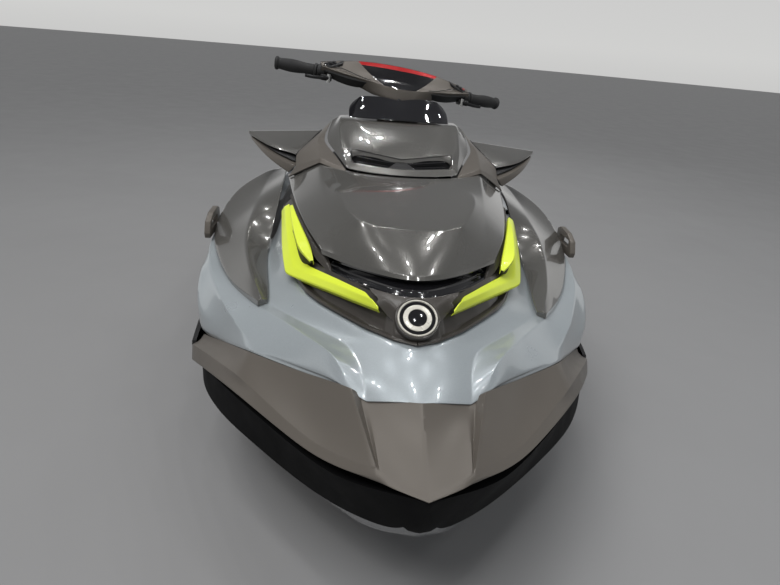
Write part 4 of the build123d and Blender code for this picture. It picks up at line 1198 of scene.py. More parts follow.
# mirror pod: upper cap with a bevelled front face
TIP = (2022.5, 546, 870)
INT = (2106, 273, 903)
INL = (2240, 350, 836)
OUL = (2108, 497, 844)
c = Cage()
top = [lerp(INT, TIP, i / 6) for i in range(7)]
front = smooth_run([INL, (2205, 410, 842), (2150, 466, 847), (2034, 545, 861)], 7)
ridge = [plus(lerp(a, b, 0.84), 0, 0, 3) for a, b in zip(top, front)]
rear_t = [(glass_x(q[1]) + 0.5, q[1], q[2]) for q in top]
rear_b = smooth_run([(glass_x(300), 300, 822), (glass_x(370), 370, 832), (glass_x(450), 450, 845), (glass_x(538), 538, 856)], 7)
under = smooth_run([(2200, 350, 826), (2160, 410, 832), (2110, 462, 838), (2030, 540, 850)], 7)
rows = []
for i in range(7):
    mt = lerp(top[i], ridge[i], 0.5)
    rows.append([rear_b[i], rear_t[i], plus(top[i], 4, 0, 0), plus(mt, 0, 0, 2), ridge[i], plus(lerp(ridge[i], front[i], 0.5), 1, 1, 0), front[i], under[i]])
c.grid(rows, close=True)
c.face(rows[0])
c.face(rows[-1])
for j, val in ((0, 0.7), (1, 0.8), (2, 0.8), (4, 0.75), (6, 0.8), (7, 0.5)):
    c.crease([r[j] for r in rows], val)
c.crease(rows[0] + rows[0][:1], 0.9)
c.crease(rows[-1] + rows[-1][:1], 0.6)
cap_ = c.build("mcap", "panel", level=3, sharp=34)
# lip under it
c = Cage()
lt = smooth_run([(2296, 349, 808), (2228, 420, 822), (2150, 478, 838), (2040, 540, 856)], 7)
lo = smooth_run([(2278, 374, 780), (2222, 432, 802), (2150, 486, 826), (2034, 543, 852)], 7)
lb = smooth_run([(2250, 362, 782), (2190, 420, 800), (2130, 470, 822), (2030, 538, 848)], 7)
li = smooth_run([(2238, 344, 812), (2190, 395, 822), (2110, 455, 836), (2030, 536, 853)], 7)
rows = [[a, b, d, e2] for a, b, d, e2 in zip(lt, lo, lb, li)]
c.grid(rows, close=True)
c.face(rows[0])
c.face(rows[-1])
for j in range(4):
    c.crease([r[j] for r in rows], 0.7)
c.crease(rows[0] + rows[0][:1], 0.8)
lip_ = c.build("mlip", "taupe", level=3, sharp=34)
# black slot between them: painted shade, a matte black insert standing in for the shadow in the gap between cap and lip
c = Cage()
rows = []
for i in range(7):
    a, b, d, e2 = front[i], under[i], lt[i], li[i]
    rows.append([plus(lerp(a, d, 0.12), -7, -5, -2), plus(lerp(a, d, 0.95), -5, -4, 0), plus(lerp(b, e2, 0.9), -8, -8, 0), plus(b, -8, -8, 0)])
c.grid(rows, close=True)
c.face(rows[0])
c.face(rows[-1])
slot_ = c.build("mslot", "matte", level=2, sharp=34)
seam = [INT, lerp(INT, INL, 0.3), lerp(INT, INL, 0.7), INL]
seam_ = tube("mseam", [plus(q, -1, 1, 0) for q in smooth_run(seam, 12)], 3.2, "matte", seg=12)
ob = join("mirror_pods", [cap_, lip_, slot_, seam_])
ob = pair(ob)
done(ob, "craft", "panel_grey", "mirrors")

# mirror glass in a dark frame
go = [(306, 891), (516, 868), (508, 858), (318, 842)]
c = Cage()
outl = [(glass_x(y) - 2.0, y, z) for y, z in [(306, 891), (360, 886.5), (440, 878), (505, 869.5), (516, 868), (514, 862), (508, 858), (440, 853), (370, 847), (318, 842), (308, 850), (304, 870)]]
cx = Vector(np.mean(np.array(outl), axis=0))
ring2 = [tuple(cx + (Vector(p) - cx) * 0.9) for p in outl]
c.grid([outl, ring2], m=1, close=True)
c.face(ring2)
c.crease(outl + outl[:1], 0.4)
c.crease(ring2 + ring2[:1], 0.8)
ob = c.build("mirror_glasses", ["mirror", "matte"], level=2, out=(-1, 0, 0), thick=0.003)
ob = pair(ob)
done(ob, "craft", "mirror", "mirror_glass")

# --- windscreen and display ---------------------------------------------------------------------
WSR = [
    [(2180, 0, 966), (2178, 45, 966), (2175, 90, 966), (2167, 140, 965), (2155, 176, 964)],
    [(2138, 0, 992), (2135, 45, 995), (2130, 90, 997), (2116, 148, 994), (2096, 180, 985)],
    [(2102, 0, 1012), (2101, 48, 1018), (2099, 96, 1020), (2092, 146, 1014), (2078, 172, 1000)],
    [(2084, 0, 1022), (2083, 46, 1031), (2081, 92, 1033), (2076, 138, 1028), (2066, 160, 1012)],
]
c = Cage()
c.grid(WSR)
for q in (WSR[0][4], WSR[3][4], WSR[3][3]):
    c.corner(q, 0.8)
c.crease([r[3] for r in WSR[1:]], 0.3)
c.crease([r[0] for r in WSR[1:]], 0.3)
c.mirrored()
ob = c.build("screen", "tint", level=4, out=(0.6, 0, 0.8), thick=0.0045, bevel=0.001)
done(ob, "front_lid", "screen_tint", "windscreen")

# binnacle with the display
dl = []
dr = Matrix.Rotation(radians(38), 4, "Y")


def dsp(p):
    q = dr @ Vector(p)
    return (2092 + q.x, q.y, 977 + q.z)


dl.append(rbox("d1", (-5, -75, -16), (7, 75, 16), 3.0, "matte", xf=dsp))
dl.append(rbox("d2", (-7, -66, -12), (-4, 66, 12), 1.2, "lcd", xf=dsp))
for s in (-1, 1):
    dl.append(rbox("d3", (-7.4, s * 69.5 - 2.5, -6), (-4.5, s * 69.5 + 2.5, 6), 1.0, "gloss", xf=dsp))
ob = join("display_unit", dl)
done(ob, "front_lid", "display_glass", "display")

# --- handlebar: cover, grips, levers, pods, turned with the bars -------------------------------------
AX = Vector((-sin(radians(28)), 0, cos(radians(28))))
PIV = Vector((2090, 0, 894))
TURN = Matrix.Rotation(radians(13), 3, AX)


def bars(p):
    return TURN @ (Vector(p) - PIV) + PIV


COVER = [(0, [(1998, 1016), (2030, 1058), (1964, 1132), (1930, 1112), (1950, 1030)]), (120, [(1996, 1022), (2026, 1064), (1964, 1130), (1932, 1108), (1952, 1034)]),
         (200, [(2000, 1036), (2018, 1070), (1966, 1116), (1938, 1098), (1956, 1040)]), (290, [(1992, 1058), (1996, 1082), (1962, 1098), (1946, 1084), (1954, 1060)])]


def cover_at(y):
    for (ya, a), (yb, b) in zip(COVER, COVER[1:]):
        if ya <= y <= yb + 1e-6:
            t = (y - ya) / (yb - ya)
            return [(p[0] + (q[0] - p[0]) * t, p[1] + (q[1] - p[1]) * t) for p, q in zip(a, b)]
    return COVER[-1][1]


def cover_pt(k, y):
    bf, lip, top, back, bb = cover_at(y)
    lift = 14 * bumpf(y, 78, 400, 60)                       # the underside arches up beside the middle
    inw = 5 if y < 120 else 1
    if k == 0:
        return (bb[0], y, bb[1] + lift * 0.4)
    if k == 1:
        ch = bumpf(y, -60, 132, 46)                          # the chin comes forward in the middle
        mid = bumpf(y, -60, 58, 50)
        return (bf[0] - 3 + (lip[0] - 4 - bf[0]) * ch + 20 * mid, y, bf[1] + lift * (1 - ch) + 2 * ch - 4 * mid)
    if k == 2:
        return (lip[0] + 8 * bumpf(y, -60, 44, 50), y, lip[1] + lift * 0.3)
    q = {3: 0.36, 4: 0.86, 5: 1.0}.get(k)
    if q is not None:
        d = inw * (1 if k == 3 else 0.2 if k == 4 else 0)
        return (lip[0] + (top[0] - lip[0]) * q - d, y, lip[1] + (top[1] - lip[1]) * q - d)
    if k == 6:
        return (top[0] - 12, y, top[1] + 1)
    return (back[0], y, back[1])


YB = [50, 48, 62, 104, 148, 156, 158, 160]
rows = []
for g in (0, 0.5, 1.0):
    rows.append([cover_pt(k, YB[k] * g) for k in range(8)])
for g in (0.22, 0.45, 0.7, 0.9, 1.0):
    r = [cover_pt(k, YB[k] + (290 - YB[k]) * g) for k in range(8)]
    rows.append(r)
c = Cage()


def cms(r, k):
    if r < 2:
        return 1 if k in (2, 3) else 2 if k in (4,) else 0 if k == 1 else 3
    return 0 if k in (1, 2, 3, 4) else 3


c.grid(rows, close=True, ms=cms)
c.face(rows[-1], 3)
for k, val in ((1, 0.6), (2, 0.62), (4, 0.35), (5, 0.6), (6, 0.5), (7, 0.5)):
    c.crease([r[k] for r in rows], val)
c.crease([rows[2][k] for k in range(1, 6)], 0.75)
c.crease([rows[i][3] for i in range(3)], 0.2)
c.crease([rows[3][k] for k in (1, 2)], 0.5)
c.crease([rows[2][k] for k in (1, 2)], 0.5)
c.crease(rows[-1] + rows[-1][:1], 0.7)
c.mirrored()
cov = c.build("cov", ["taupe", "gloss", "red", "matte"], level=3, sharp=32, xf=bars)
cobs = [cov]
# panel lines: thin dark grooves on the wings and a lower plate under each wing
for s in (1, -1):
    pts = [cover_pt(2, 285), cover_pt(3, 262), cover_pt(3, 215), cover_pt(2, 150), cover_pt(2, 112)]
    pts = smooth_run([(p[0] + 1.5, s * p[1], p[2] + (5 if 0 < i < 4 else 3)) for i, p in enumerate(pts)], 20)
    cobs.append(tube("cl", pts, 1.3, "matte", seg=8, xf=bars))
    pl = []
    for y, a, b in ((292, 6, 20), (240, 8, 30), (190, 8, 34), (140, 6, 30), (108, 4, 16)):
        bf, lip, top, back, bb = cover_at(min(y, 290))
        pl.append([(lip[0] - 6, s * y, lip[1] - a + 8), (lip[0] - 2, s * y, lip[1] - a), (lip[0] - 16, s * y, lip[1] - b), (lip[0] - 30, s * y, lip[1] - b + 6)])
    cc = Cage()
    cc.grid(pl, close=True)
    cc.face(pl[0])
    cc.face(pl[-1])
    for j in range(4):
        cc.crease([r[j] for r in pl], 0.5)
    cobs.append(cc.build("cp", "matte", level=2, sharp=35, xf=bars))
ob = join("bar_cover", cobs)
done(ob, "handlebar", "trim_taupe", "handlebar_cover")

END = Vector((1928, 437, 1066))
BD = (Vector((1990, 195, 1068)) - END).normalized()
gobs, lobs, pobs = [], [], []
for s in (1, -1):
    d = Vector((BD.x, BD.y * s, BD.z))
    e = Vector((END.x, END.y * s, END.z))
    prof = [(-9, 0), (-9, 8), (-9, 18), (-7.5, 21.5), (-4, 23), (0, 22.6), (3, 20.5)]
    n = 38
    for i in range(n + 1):
        a = 5 + 125 * i / n
        r = 18.6 + 3.4 * sin(pi * min(1, max(0, (a - 4) / 96))) ** 1.5 + (0.7 if i % 2 else -0.3)
        prof.append((a, r))
    prof += [(132, 20.5), (134, 24), (137, 24.5), (140, 23), (141, 12.5)]
    g = lathe("g", prof, e, d, "rubber", seg=56, smooth=50, xf=bars)
    # palm swell along the middle of the grip, with fine alternating rings
    gobs.append(g)
    # lever: flat tapered blade with a ball end, hung from a pivot
    p0, p3 = Vector((2010, 262 * s, 1050)), Vector((1994, 410 * s, 1045))
    run = smooth_run([(2002, 250 * s, 1051), (2012, 278 * s, 1050), (2012, 305 * s, 1047), (2005, 328 * s, 1045), (2000, 346 * s, 1046)], 22)
    cc = Cage()
    rr = []
    for i, p in enumerate(run):
        t = i / (len(run) - 1)
        h, w = 8.5 - 3.5 * t, 4.6 - 1.2 * t
        if t > 0.94:
            h, w = 6.2, 5.2
        rr.append([plus(p, -w, 0, -h * 0.6), plus(p, 0, 0, -h), plus(p, w, 0, -h * 0.6), plus(p, w, 0, h * 0.6), plus(p, 0, 0, h), plus(p, -w, 0, h * 0.6)])
    cc.grid(rr, close=True)
    cc.face(rr[0])
    cc.face(rr[-1])
    lobs.append(cc.build("l", "barblack", level=2, sharp=50, xf=bars))
    lobs.append(tube("lp", [(2004, 262 * s, 1036), (2004, 262 * s, 1064)], 7.5, "steel", seg=20, xf=bars))
    # switch housing on the bar
    a = e + d * 143
    pobs.append(lathe("p1", [(0, 12.2), (0, 21), (1.5, 22.5), (12, 23), (14, 21.5), (26, 20), (27, 12.2)], a, d, "matte", seg=40, smooth=40, xf=bars))
    q = [(1962, 292 * s, 1092), (1990, 286 * s, 1080), (1996, 262 * s, 1086), (1984, 214 * s, 1108), (1958, 206 * s, 1118), (1944, 250 * s, 1106)]
    pobs.append(plate("p2", q, (0.35, 0, 0.94), 13, "matte", r=3.0, seg=3, xf=bars))
    q2 = [(1966, 280 * s, 1097.5), (1984, 276 * s, 1089.5), (1980, 236 * s, 1103.5), (1962, 238 * s, 1110.5)]
    pobs.append(plate("p3", q2, (0.35, 0, 0.94), 3.0, "gloss", r=0.8, xf=bars))
    for k in range(3):
        ctr = lerp((1974, 270 * s, 1097), (1972, 244 * s, 1106), k / 2)
        pobs.append(lathe("b%d" % k, [(-3, 0), (-3, 5.0), (1.6, 5.0), (2.4, 4.2), (2.6, 0)], ctr, (0.35, 0, 0.94), "red" if (k == 0 and s > 0) else "rubber", seg=20, xf=bars))
    # clamp under the housing
    pobs.append(rbox("p4", (1972, min(250 * s, 290 * s), 1040), (2006, max(250 * s, 290 * s), 1060), 4, "matte", xf=bars))
ob = join("bar_grips", gobs)
done(ob, "handlebar", "rubber", "grips")
ob = join("bar_levers", lobs)
done(ob, "handlebar", "bar_black", "levers")
ob = join("bar_switches", pobs)
done(ob, "handlebar", "black_matte", "switch_pods")
# bellows round the column
prof = [(-4, 19.5)]
for i in range(7):
    prof += [(i * 10 + 2, 33 - i * 1.6), (i * 10 + 7, 26 - i * 1.1)]
prof += [(72, 19.5)]
ob = lathe("column_boot", prof, PIV + AX * 14, AX, "rubber", seg=40, smooth=50)
done(ob, "handlebar", "rubber")

# --- console, glovebox, dash sides -----------------------------------------------------------------------
def half(rows, name, mats, level=3, out=(0, 0.6, 0.6), creases=(), thick=0.004, ms=None, bevel=0.001, corners=()):
    c = Cage()
    c.grid(rows, ms=ms)
    for j, val in creases:
        c.crease([r[j] for r in rows], val)
    c.crease(rows[0], 0.8)
    c.crease(rows[-1], 0.8)
    for q in corners:
        c.corner(q)
    c.mirrored()
    return c.build(name, mats, level=level, out=out, thick=thick, bevel=bevel, sharp=33)


AFT = [
    [(1810, 0, 716), (1810, 60, 716), (1810, 112, 712), (1810, 150, 650), (1810, 186, 500), (1810, 199, 305)],
    [(1836, 0, 721), (1836, 74, 720), (1836, 113, 716), (1836, 152, 655), (1836, 188, 505), (1836, 201, 306)],
    [(1964, 0, 739), (1964, 78, 738), (1964, 119, 732), (1964, 160, 668), (1964, 192, 512), (1964, 204, 308)],
    [(1990, 0, 744), (1990, 80, 744), (1990, 124, 738), (1990, 168, 676), (1990, 196, 516), (1990, 206, 308)],
    [(2012, 0, 776), (2012, 84, 776), (2012, 140, 768), (2014, 196, 694), (2014, 204, 520), (2014, 210, 308)],
    [(2036, 0, 838), (2036, 90, 838), (2036, 168, 826), (2036, 258, 716), (2036, 292, 600), (2036, 292, 308)],
    [(2062, 0, 866), (2062, 96, 866), (2062, 190, 852), (2062, 286, 782), (2062, 334, 700), (2062, 340, 560)],
    [(2150, 0, 856), (2150, 100, 856), (2150, 200, 848), (2150, 296, 818), (2150, 345, 752), (2150, 352, 600)],
    [(2440, 0, 798), (2440, 90, 799), (2440, 165, 800), (2440, 250, 790), (2440, 305, 768), (2440, 330, 640)],
]
c = Cage()
for i in range(len(AFT) - 1):
    for j in range(5):
        if i == 1 and j == 0:
            continue
        if i == 7 and j < 2:
            continue
        a, b = AFT[i], AFT[i + 1]
        c.face([a[j], a[j + 1], b[j + 1], b[j]], 0)
for j, val in ((2, 0.4), (4, 0.35)):
    c.crease([r[j] for r in AFT], val)
c.crease(AFT[0], 0.8)
c.crease(AFT[3], 0.45)
c.crease(AFT[5], 0.3)
c.crease([AFT[1][0], AFT[1][1], AFT[2][1], AFT[2][0]], 1.0)
c.corner(AFT[1][1])
c.corner(AFT[2][1])
c.mirrored()
con1 = c.build("con1", "bin", level=3, out=(-0.2, 0.5, 0.8), thick=0.004, bevel=0.001)
# glovebox tub
c = Cage()
gb = [[(1838, y, z) for y, z in ((0, 588), (70, 588), (79, 600), (79, 718))], [(1962, y, z) for y, z in ((0, 588), (70, 588), (79, 600), (79, 735))]]
c.grid([[(1838, 0, 718)] + [(1838, 79, 718)], [(1838, 0, 588), (1838, 79, 588)], [(1962, 0, 588), (1962, 79, 588)], [(1962, 0, 736), (1962, 79, 736)]])
c.face([(1838, 79, 718), (1838, 79, 588), (1962, 79, 588), (1962, 79, 736)])
c.mirrored()
con2 = c.build("con2", "bin", level=0, out=None, thick=0.0, sharp=30)
for p in con2.data.polygons:
    p.flip()
con3 = rbox("con3", (2020, -28, 812), (2044, 28, 838), 4, "matte")
ob = join("console_shell", [con1, con2, con3])
done(ob, "craft", "bin_plastic", "console")

rows = [[(1817, 0, 724), (1817, 60, 724), (1818, 100, 722), (1822, 110, 719)], [(1850, 0, 732), (1850, 60, 731), (1850, 102, 728), (1850, 112, 723)],
        [(1960, 0, 747), (1960, 62, 746), (1960, 105, 743), (1960, 115, 738)], [(1983, 0, 749), (1983, 62, 749), (1983, 106, 746), (1980, 114, 742)]]
c = Cage()
c.grid(rows)
c.crease([r[2] for r in rows], 0.5)
for q in (rows[0][-1], rows[-1][-1]):
    c.corner(q, 0.5)
c.mirrored()
lid1 = c.build("lid1", "taupe_dark", level=3, out=(0, 0, 1), thick=0.005, bevel=0.0012)
lid2 = rbox("lid2", (1824, -26, 725), (1840, 26, 733), 2.5, "matte")
pad = plate("lid3", [(1862, -70, 738.5), (1862, 70, 738.5), (1948, 76, 750), (1948, -76, 750)], (-0.13, 0, 0.99), 3.5, "rubber", r=1.2)
lobj = [lid1, lid2, pad]
for k in range(6):
    x = 1874 + k * 12.5
    z = 738.5 + (x - 1862) * 0.1337
    lobj.append(rbox("lr", (x - 2, -62, z - 1), (x + 2, 62, z + 1.6), 0.9, "rubber", seg=2))
ob = join("glovebox_cover", lobj)
done(ob, "glovebox_lid", "bin_plastic", "glovebox_lid")

# --- gunwales ------------------------------------------------------------------------------------------------
G = [(345, 572, 372, 530, 438, 480, 436, 434), (700, 592, 388, 552, 474, 494, 474, 431), (1000, 604, 402, 566, 506, 500, 508, 428), (1300, 609, 424, 578, 536, 496, 540, 427),
     (1600, 612, 444, 588, 562, 488, 568, 426), (1850, 613, 462, 597, 592, 477, 602, 427), (2034, 614, 478, 602, 616, 430, 628, 428)]
rows = []
for x, sy, sz, hy, hz, iy, iz, fy in G:
    ry, rz = rail_y(x), rail_z(x)
    if x > 2000:
        ins = [(x, 580, 634), (x, 505, 636), (x, 440, 630)]
    else:
        ins = [(x, hy - 14, hz + 9), (x, (hy + iy) / 2 - 6, (hz + iz) / 2 + 12), (x, iy, iz + 2)]
    rows.append([(x, ry - 2, rz + 6), (x, (ry + sy) / 2 + 2, (rz + sz) / 2), (x, sy + 2, sz), (x, hy + 4, hz - 6)] + ins + [(x, iy - (6 if x < 2000 else 2), iz - 26), (x, fy + 12, rz + 60), (x, fy, rz - 6)])
    if x == 345:
        r0 = rows[0]
        full = [plus(q, 62, 0, 3) for q in r0]
        head = [(366, q[1], 292 + (q[2] - 292) * 0.70) for q in r0]
        foot = [(346, q[1] - 2, 292 + (q[2] - 292) * 0.30) for q in r0]
        rows = [foot, head, full]
ob = half(rows, "gunwale_shells", ["silver", "foam"], out=(0, 0.3, 0.9), creases=((0, 0.8), (2, 0.25), (3, 0.5), (4, 0.55), (6, 0.6), (7, 0.3)), thick=0.004)
done(ob, "craft", "deck_silver", "gunwales")

# --- pedestal ----------------------------------------------------------------------------------------------------
PED = [(352, 190, 124, 424), (448, 193, 132, 540), (546, 196, 142, 640), (800, 200, 150, 664), (1040, 205, 157, 690), (1084, 205, 157, 690), (1092, 205, 152, 622), (1400, 202, 138, 612), (1808, 198, 120, 602)]
rows = []
for x, wb, wt, zt in PED:
    zf = 296
    rows.append([(x, 0, zt), (x, wt * 0.7, zt), (x, wt, zt - 4), (x, wt + (wb - wt) * 0.35, zt - (zt - zf) * 0.35), (x, wt + (wb - wt) * 0.45, zt - (zt - zf) * 0.40), (x, wb, zf)])
rows = [[(x - 2, y, 296) for x, y, z in rows[0]]] + rows
ob = half(rows, "pedestal_shell", ["bin", "panel"], out=(-0.1, 0.6, 0.6), creases=((2, 0.55), (3, 0.5), (4, 0.5)), thick=0.004, ms=lambda r, j: 1 if (j >= 4 and r > 0) else 0)
done(ob, "craft", "bin_plastic", "seat_pedestal")

# --- swim platform and mats ------------------------------------------------------------------------------------------
P = [(-12, 486, 322, 334), (4, 508, 300, 341), (34, 530, 276, 345), (180, 552, 274, 345), (338, 572, 274, 345)]
rows = []
for x, w, zb, zt in P:
    rows.append([(x, 0, zt), (x, w * 0.5, zt), (x, w - 46, zt), (x, w - 22, zt + 3 if x > 0 else zt), (x, w - 8, zt - 3), (x, w, zt - 16), (x, w, zb + 8)])
rows = [[(-14, y, z - 26) for x, y, z in rows[0][:6]] + [(-14, 486, 300)]] + rows
c = Cage()
c.grid(rows)
c.crease(rows[1], 0.5)
c.crease([r[3] for r in rows], 0.3)
c.crease([r[4] for r in rows], 0.4)
c.crease(rows[-1], 0.8)
c.crease(rows[0], 0.8)
c.mirrored()
ob = c.build("platform_shell", "silver", level=3, out=(-0.2, 0.1, 0.9), thick=0.005, bevel=0.0012)
done(ob, "craft", "deck_silver", "swim_platform")

# mats: foam pads with planed grooves, rounded outlines
def groove_pad(name, outline, z0, pitch, deep, along="x", thick=6.0, edge=8.0, zf=None, mats="foam"):
    """foam pad on a floor: outline in x, y; raised ribs run along one direction, with a plain border"""
    xs = [p[0] for p in outline]
    ys = [p[1] for p in outline]
    bm = bmesh.new()
    vs = [bm.verts.new((x, y, 0)) for x, y in outline]
    bm.faces.new(vs)
    lo_, hi_ = (min(ys), max(ys)) if along == "x" else (min(xs), max(xs))
    no = (0, 1, 0) if along == "x" else (1, 0, 0)
    cuts_ = []
    w = lo_ + edge
    while w < hi_ - edge:
        cuts_ += [w, w + pitch * 0.22, w + pitch * 0.5, w + pitch * 0.72]
        w += pitch
    for q in cuts_:
        co = (0, q, 0) if along == "x" else (q, 0, 0)
        bmesh.ops.bisect_plane(bm, geom=bm.verts[:] + bm.edges[:] + bm.faces[:], plane_co=co, plane_no=no)
    l2, h2 = (min(xs), max(xs)) if along == "x" else (min(ys), max(ys))
    no2 = (1, 0, 0) if along == "x" else (0, 1, 0)
    k = l2 + edge
    m_ = [k]
    while k < h2 - edge - 60:
        k += 60
        m_.append(k)
    m_.append(h2 - edge)
    for q in m_:
        co = (q, 0, 0) if along == "x" else (0, q, 0)
        bmesh.ops.bisect_plane(bm, geom=bm.verts[:] + bm.edges[:] + bm.faces[:], plane_co=co, plane_no=no2)
    bnd = {v.index for e_ in bm.edges if e_.is_boundary for v in e_.verts}
    bm.verts.index_update()
    bnd = set()
    for e_ in bm.edges:
        if e_.is_boundary:
            bnd.update(v.index for v in e_.verts)
    low_ = set()
    for v in bm.verts:
        q = v.co.y if along == "x" else v.co.x
        r_ = v.co.x if along == "x" else v.co.y
        z = 0.0
        if v.index not in bnd and l2 + edge - 0.5 < r_ < h2 - edge + 0.5:
            ph = ((q - lo_ - edge) / pitch) % 1.0
            if 0.1 < ph < 0.6:
                z = -deep
        v.co.z = z
    top = [(tuple(v.co)) for v in bm.verts]
    bmesh.ops.recalc_face_normals(bm, faces=bm.faces)
    if sum(f.normal.z for f in bm.faces) < 0:
        bmesh.ops.reverse_faces(bm, faces=bm.faces)
    ext = bmesh.ops.extrude_edge_only(bm, edges=[e_ for e_ in bm.edges if e_.is_boundary])
    for g_ in ext["geom"]:
        if isinstance(g_, bmesh.types.BMVert):
            g_.co.z -= thick
    for v in bm.verts:
        z = (zf(v.co.x, v.co.y) if zf else z0) + v.co.z
        v.co = W((v.co.x, v.co.y, z))
    me = bpy.data.meshes.new(name)
    bm.to_mesh(me)
    bm.free()
    me.materials.append(MATS[mats])
    for p in me.polygons:
        p.use_smooth = False
    return link(bpy.data.objects.new(name, me))


mobs = [groove_pad("m1", [(32, -455), (60, -470), (326, -470), (334, -460), (334, 460), (326, 470), (60, 470), (32, 455)], 351, 22, 2.2, along="y")]


def floor_z(x, y):
    return rail_z(max(0, x)) + 7


for s in (1, -1):
    mobs.append(groove_pad("m2", [(362, 214 * s), (362, 416 * s), (2020, 416 * s), (2026, 406 * s), (2026, 214 * s)], 0, 20, 2.0, along="x", zf=floor_z))
ob = join("foam_mats", mobs)
done(ob, "craft", "mat_foam", "deck_mats")

# footwell floor under the mats
c = Cage()
rows = [[(x, 0, rail_z(x) - 1), (x, 200, rail_z(x) - 1), (x, 432, rail_z(x) - 1), (x, rail_y(x) - 6, rail_z(x) - 1)] for x in (338, 800, 1300, 1800, 2036)]
c.grid(rows)
c.mirrored()
ob = c.build("footwell_floor", "silver", level=1, out=(0, 0, 1), thick=0.003)
done(ob, "craft", "deck_silver")

# --- side bumpers -------------------------------------------------------------------------------------------------------
RAIL = [(0, -12, 30), (300, -12, 36), (650, -13, 44), (1000, -14, 52), (1400, -14, 62), (1800, -14, 70), (2300, -14, 74), (2520, -13, 64), (2640, -10, 40), (2712, -5, 16)]
rows = []
for x, dn, up in RAIL:
    y, z = rail_y(x), rail_z(x)
    h = up - dn

    def q(o, t):
        return (x, y + o * (1 - max(0, x - 2520) / 400), z + dn + h * t)
    rows.append([q(-12, 0.02), q(6, 0.0), q(12.5, 0.10), q(13, 0.40), q(12, 0.46), q(7.5, 0.49), q(7.5, 0.54), q(12, 0.57), q(11.5, 0.80), q(7, 0.94), q(-2, 0.99), q(-14, 1.0)])
c = Cage()
c.grid(rows, ms=lambda r, j: 0)
for j, val in ((1, 0.4), (2, 0.4), (3, 0.6), (4, 0.5), (5, 0.6), (6, 0.6), (7, 0.6), (8, 0.35), (10, 0.4)):
    c.crease([r[j] for r in rows], val)
c.face(rows[0])
c.face(rows[-1])
c.crease(rows[0], 0.8)
c.crease(rows[-1], 0.8)
c.mirrored()
ob = c.build("side_bumpers", "matte", level=3, out=(0, 1, 0.1), thick=0.0, sharp=35)
done(ob, "craft", "black_matte", "rub_rails")

# --- cleats ----------------------------------------------------------------------------------------------------------------
cl = []
blk = plate("c1", [(2412, 0, 576), (2417, 0, 594), (2398, 0, 630), (2354, 0, 647), (2286, 0, 651), (2264, 0, 640), (2264, 0, 576)], (0, 1, 0), 19, "taupe", r=2.6, seg=3)
for v in blk.data.vertices:
    v.co.y += 0.632
cut_ = rbox("cc", (2300, 590, 602), (2384, 640, 629), 6, "gloss", seg=4)
boolean(blk, [cut_])
cl.append(blk)
cl.append(tube("c4", [(2292, 624, 606), (2390, 624, 606)], 3.0, "steel", seg=14))
ob = pair(join("cleat_blocks", cl))
done(ob, "craft", "trim_taupe", "cleats")

# --- sponsons ------------------------------------------------------------------------------------------------------------------
rows = []
for x, k, h in ((318, 0.1, 8), (380, 0.8, 18), (700, 1.0, 24), (980, 0.9, 20), (1062, 0.1, 8)):
    y = 530 + (x - 330) * 0.02
    rows.append([(x, y + 14, 196), (x, y + 14 + 32 * k, 200), (x, y + 20 + 44 * k, 214), (x, y + 16 + 42 * k, 236), (x, y + 22, 238)])
c = Cage()
c.grid(rows, close=True)
c.face(rows[0])
c.face(rows[-1])
for j in (1, 2, 3):
    c.crease([r[j] for r in rows], 0.5)
c.mirrored()
ob = c.build("sponson_fins", "matte", level=3, sharp=35)
done(ob, "craft", "black_matte", "sponsons")

# --- grab handle --------------------------------------------------------------------------------------------------------------------
run = smooth_run([(565, -118, 650), (505, -121, 688), (462, -108, 713), (450, -60, 719), (448, 0, 720), (450, 60, 719), (462, 108, 713), (505, 121, 688), (565, 118, 650)], 60)
gh = [tube("gh", run, [12.5 + 1.5 * bumpf(abs(i - 29.5) / 30.0, -1, 0.5, 0.2) for i in range(60)], "rubber", seg=24)]
for i in range(14, 46, 2):
    p, t, a, b = frames(run)[i]
    gh.append(lathe("gr", [(-2.2, 13.2), (-1.2, 14.9), (1.2, 14.9), (2.2, 13.2)], p, t, "rubber", seg=24, smooth=60))
ob = join("grab_bar", gh)
done(ob, "craft", "rubber", "grab_handle")

# --- transom fittings: drain plugs, exhaust outlet ring -------------------------------------------------------------------------------------
tf = []
for s in (-1, 1):
    tf.append(lathe("t1", [(0, 0), (0, 17), (-3, 19), (-7, 19), (-9, 17), (-9, 11), (-7, 10.5), (-7, 0)], (1, 190 * s, 196), (1, 0, 0), "matte", seg=6 * 6))
    tf.append(rbox("t2", (-12, 190 * s - 8, 193.5), (-4, 190 * s + 8, 198.5), 1.5, "matte"))
tf.append(lathe("t3", [(2, 0), (2, 34), (-2, 36), (-6, 34), (-7, 28), (-5, 25), (8, 24), (8, 0)], (0, -250, 236), (1, 0, 0), "rubber", seg=40))
ob = join("transom_fittings", tf)
done(ob, "craft", "black_matte")

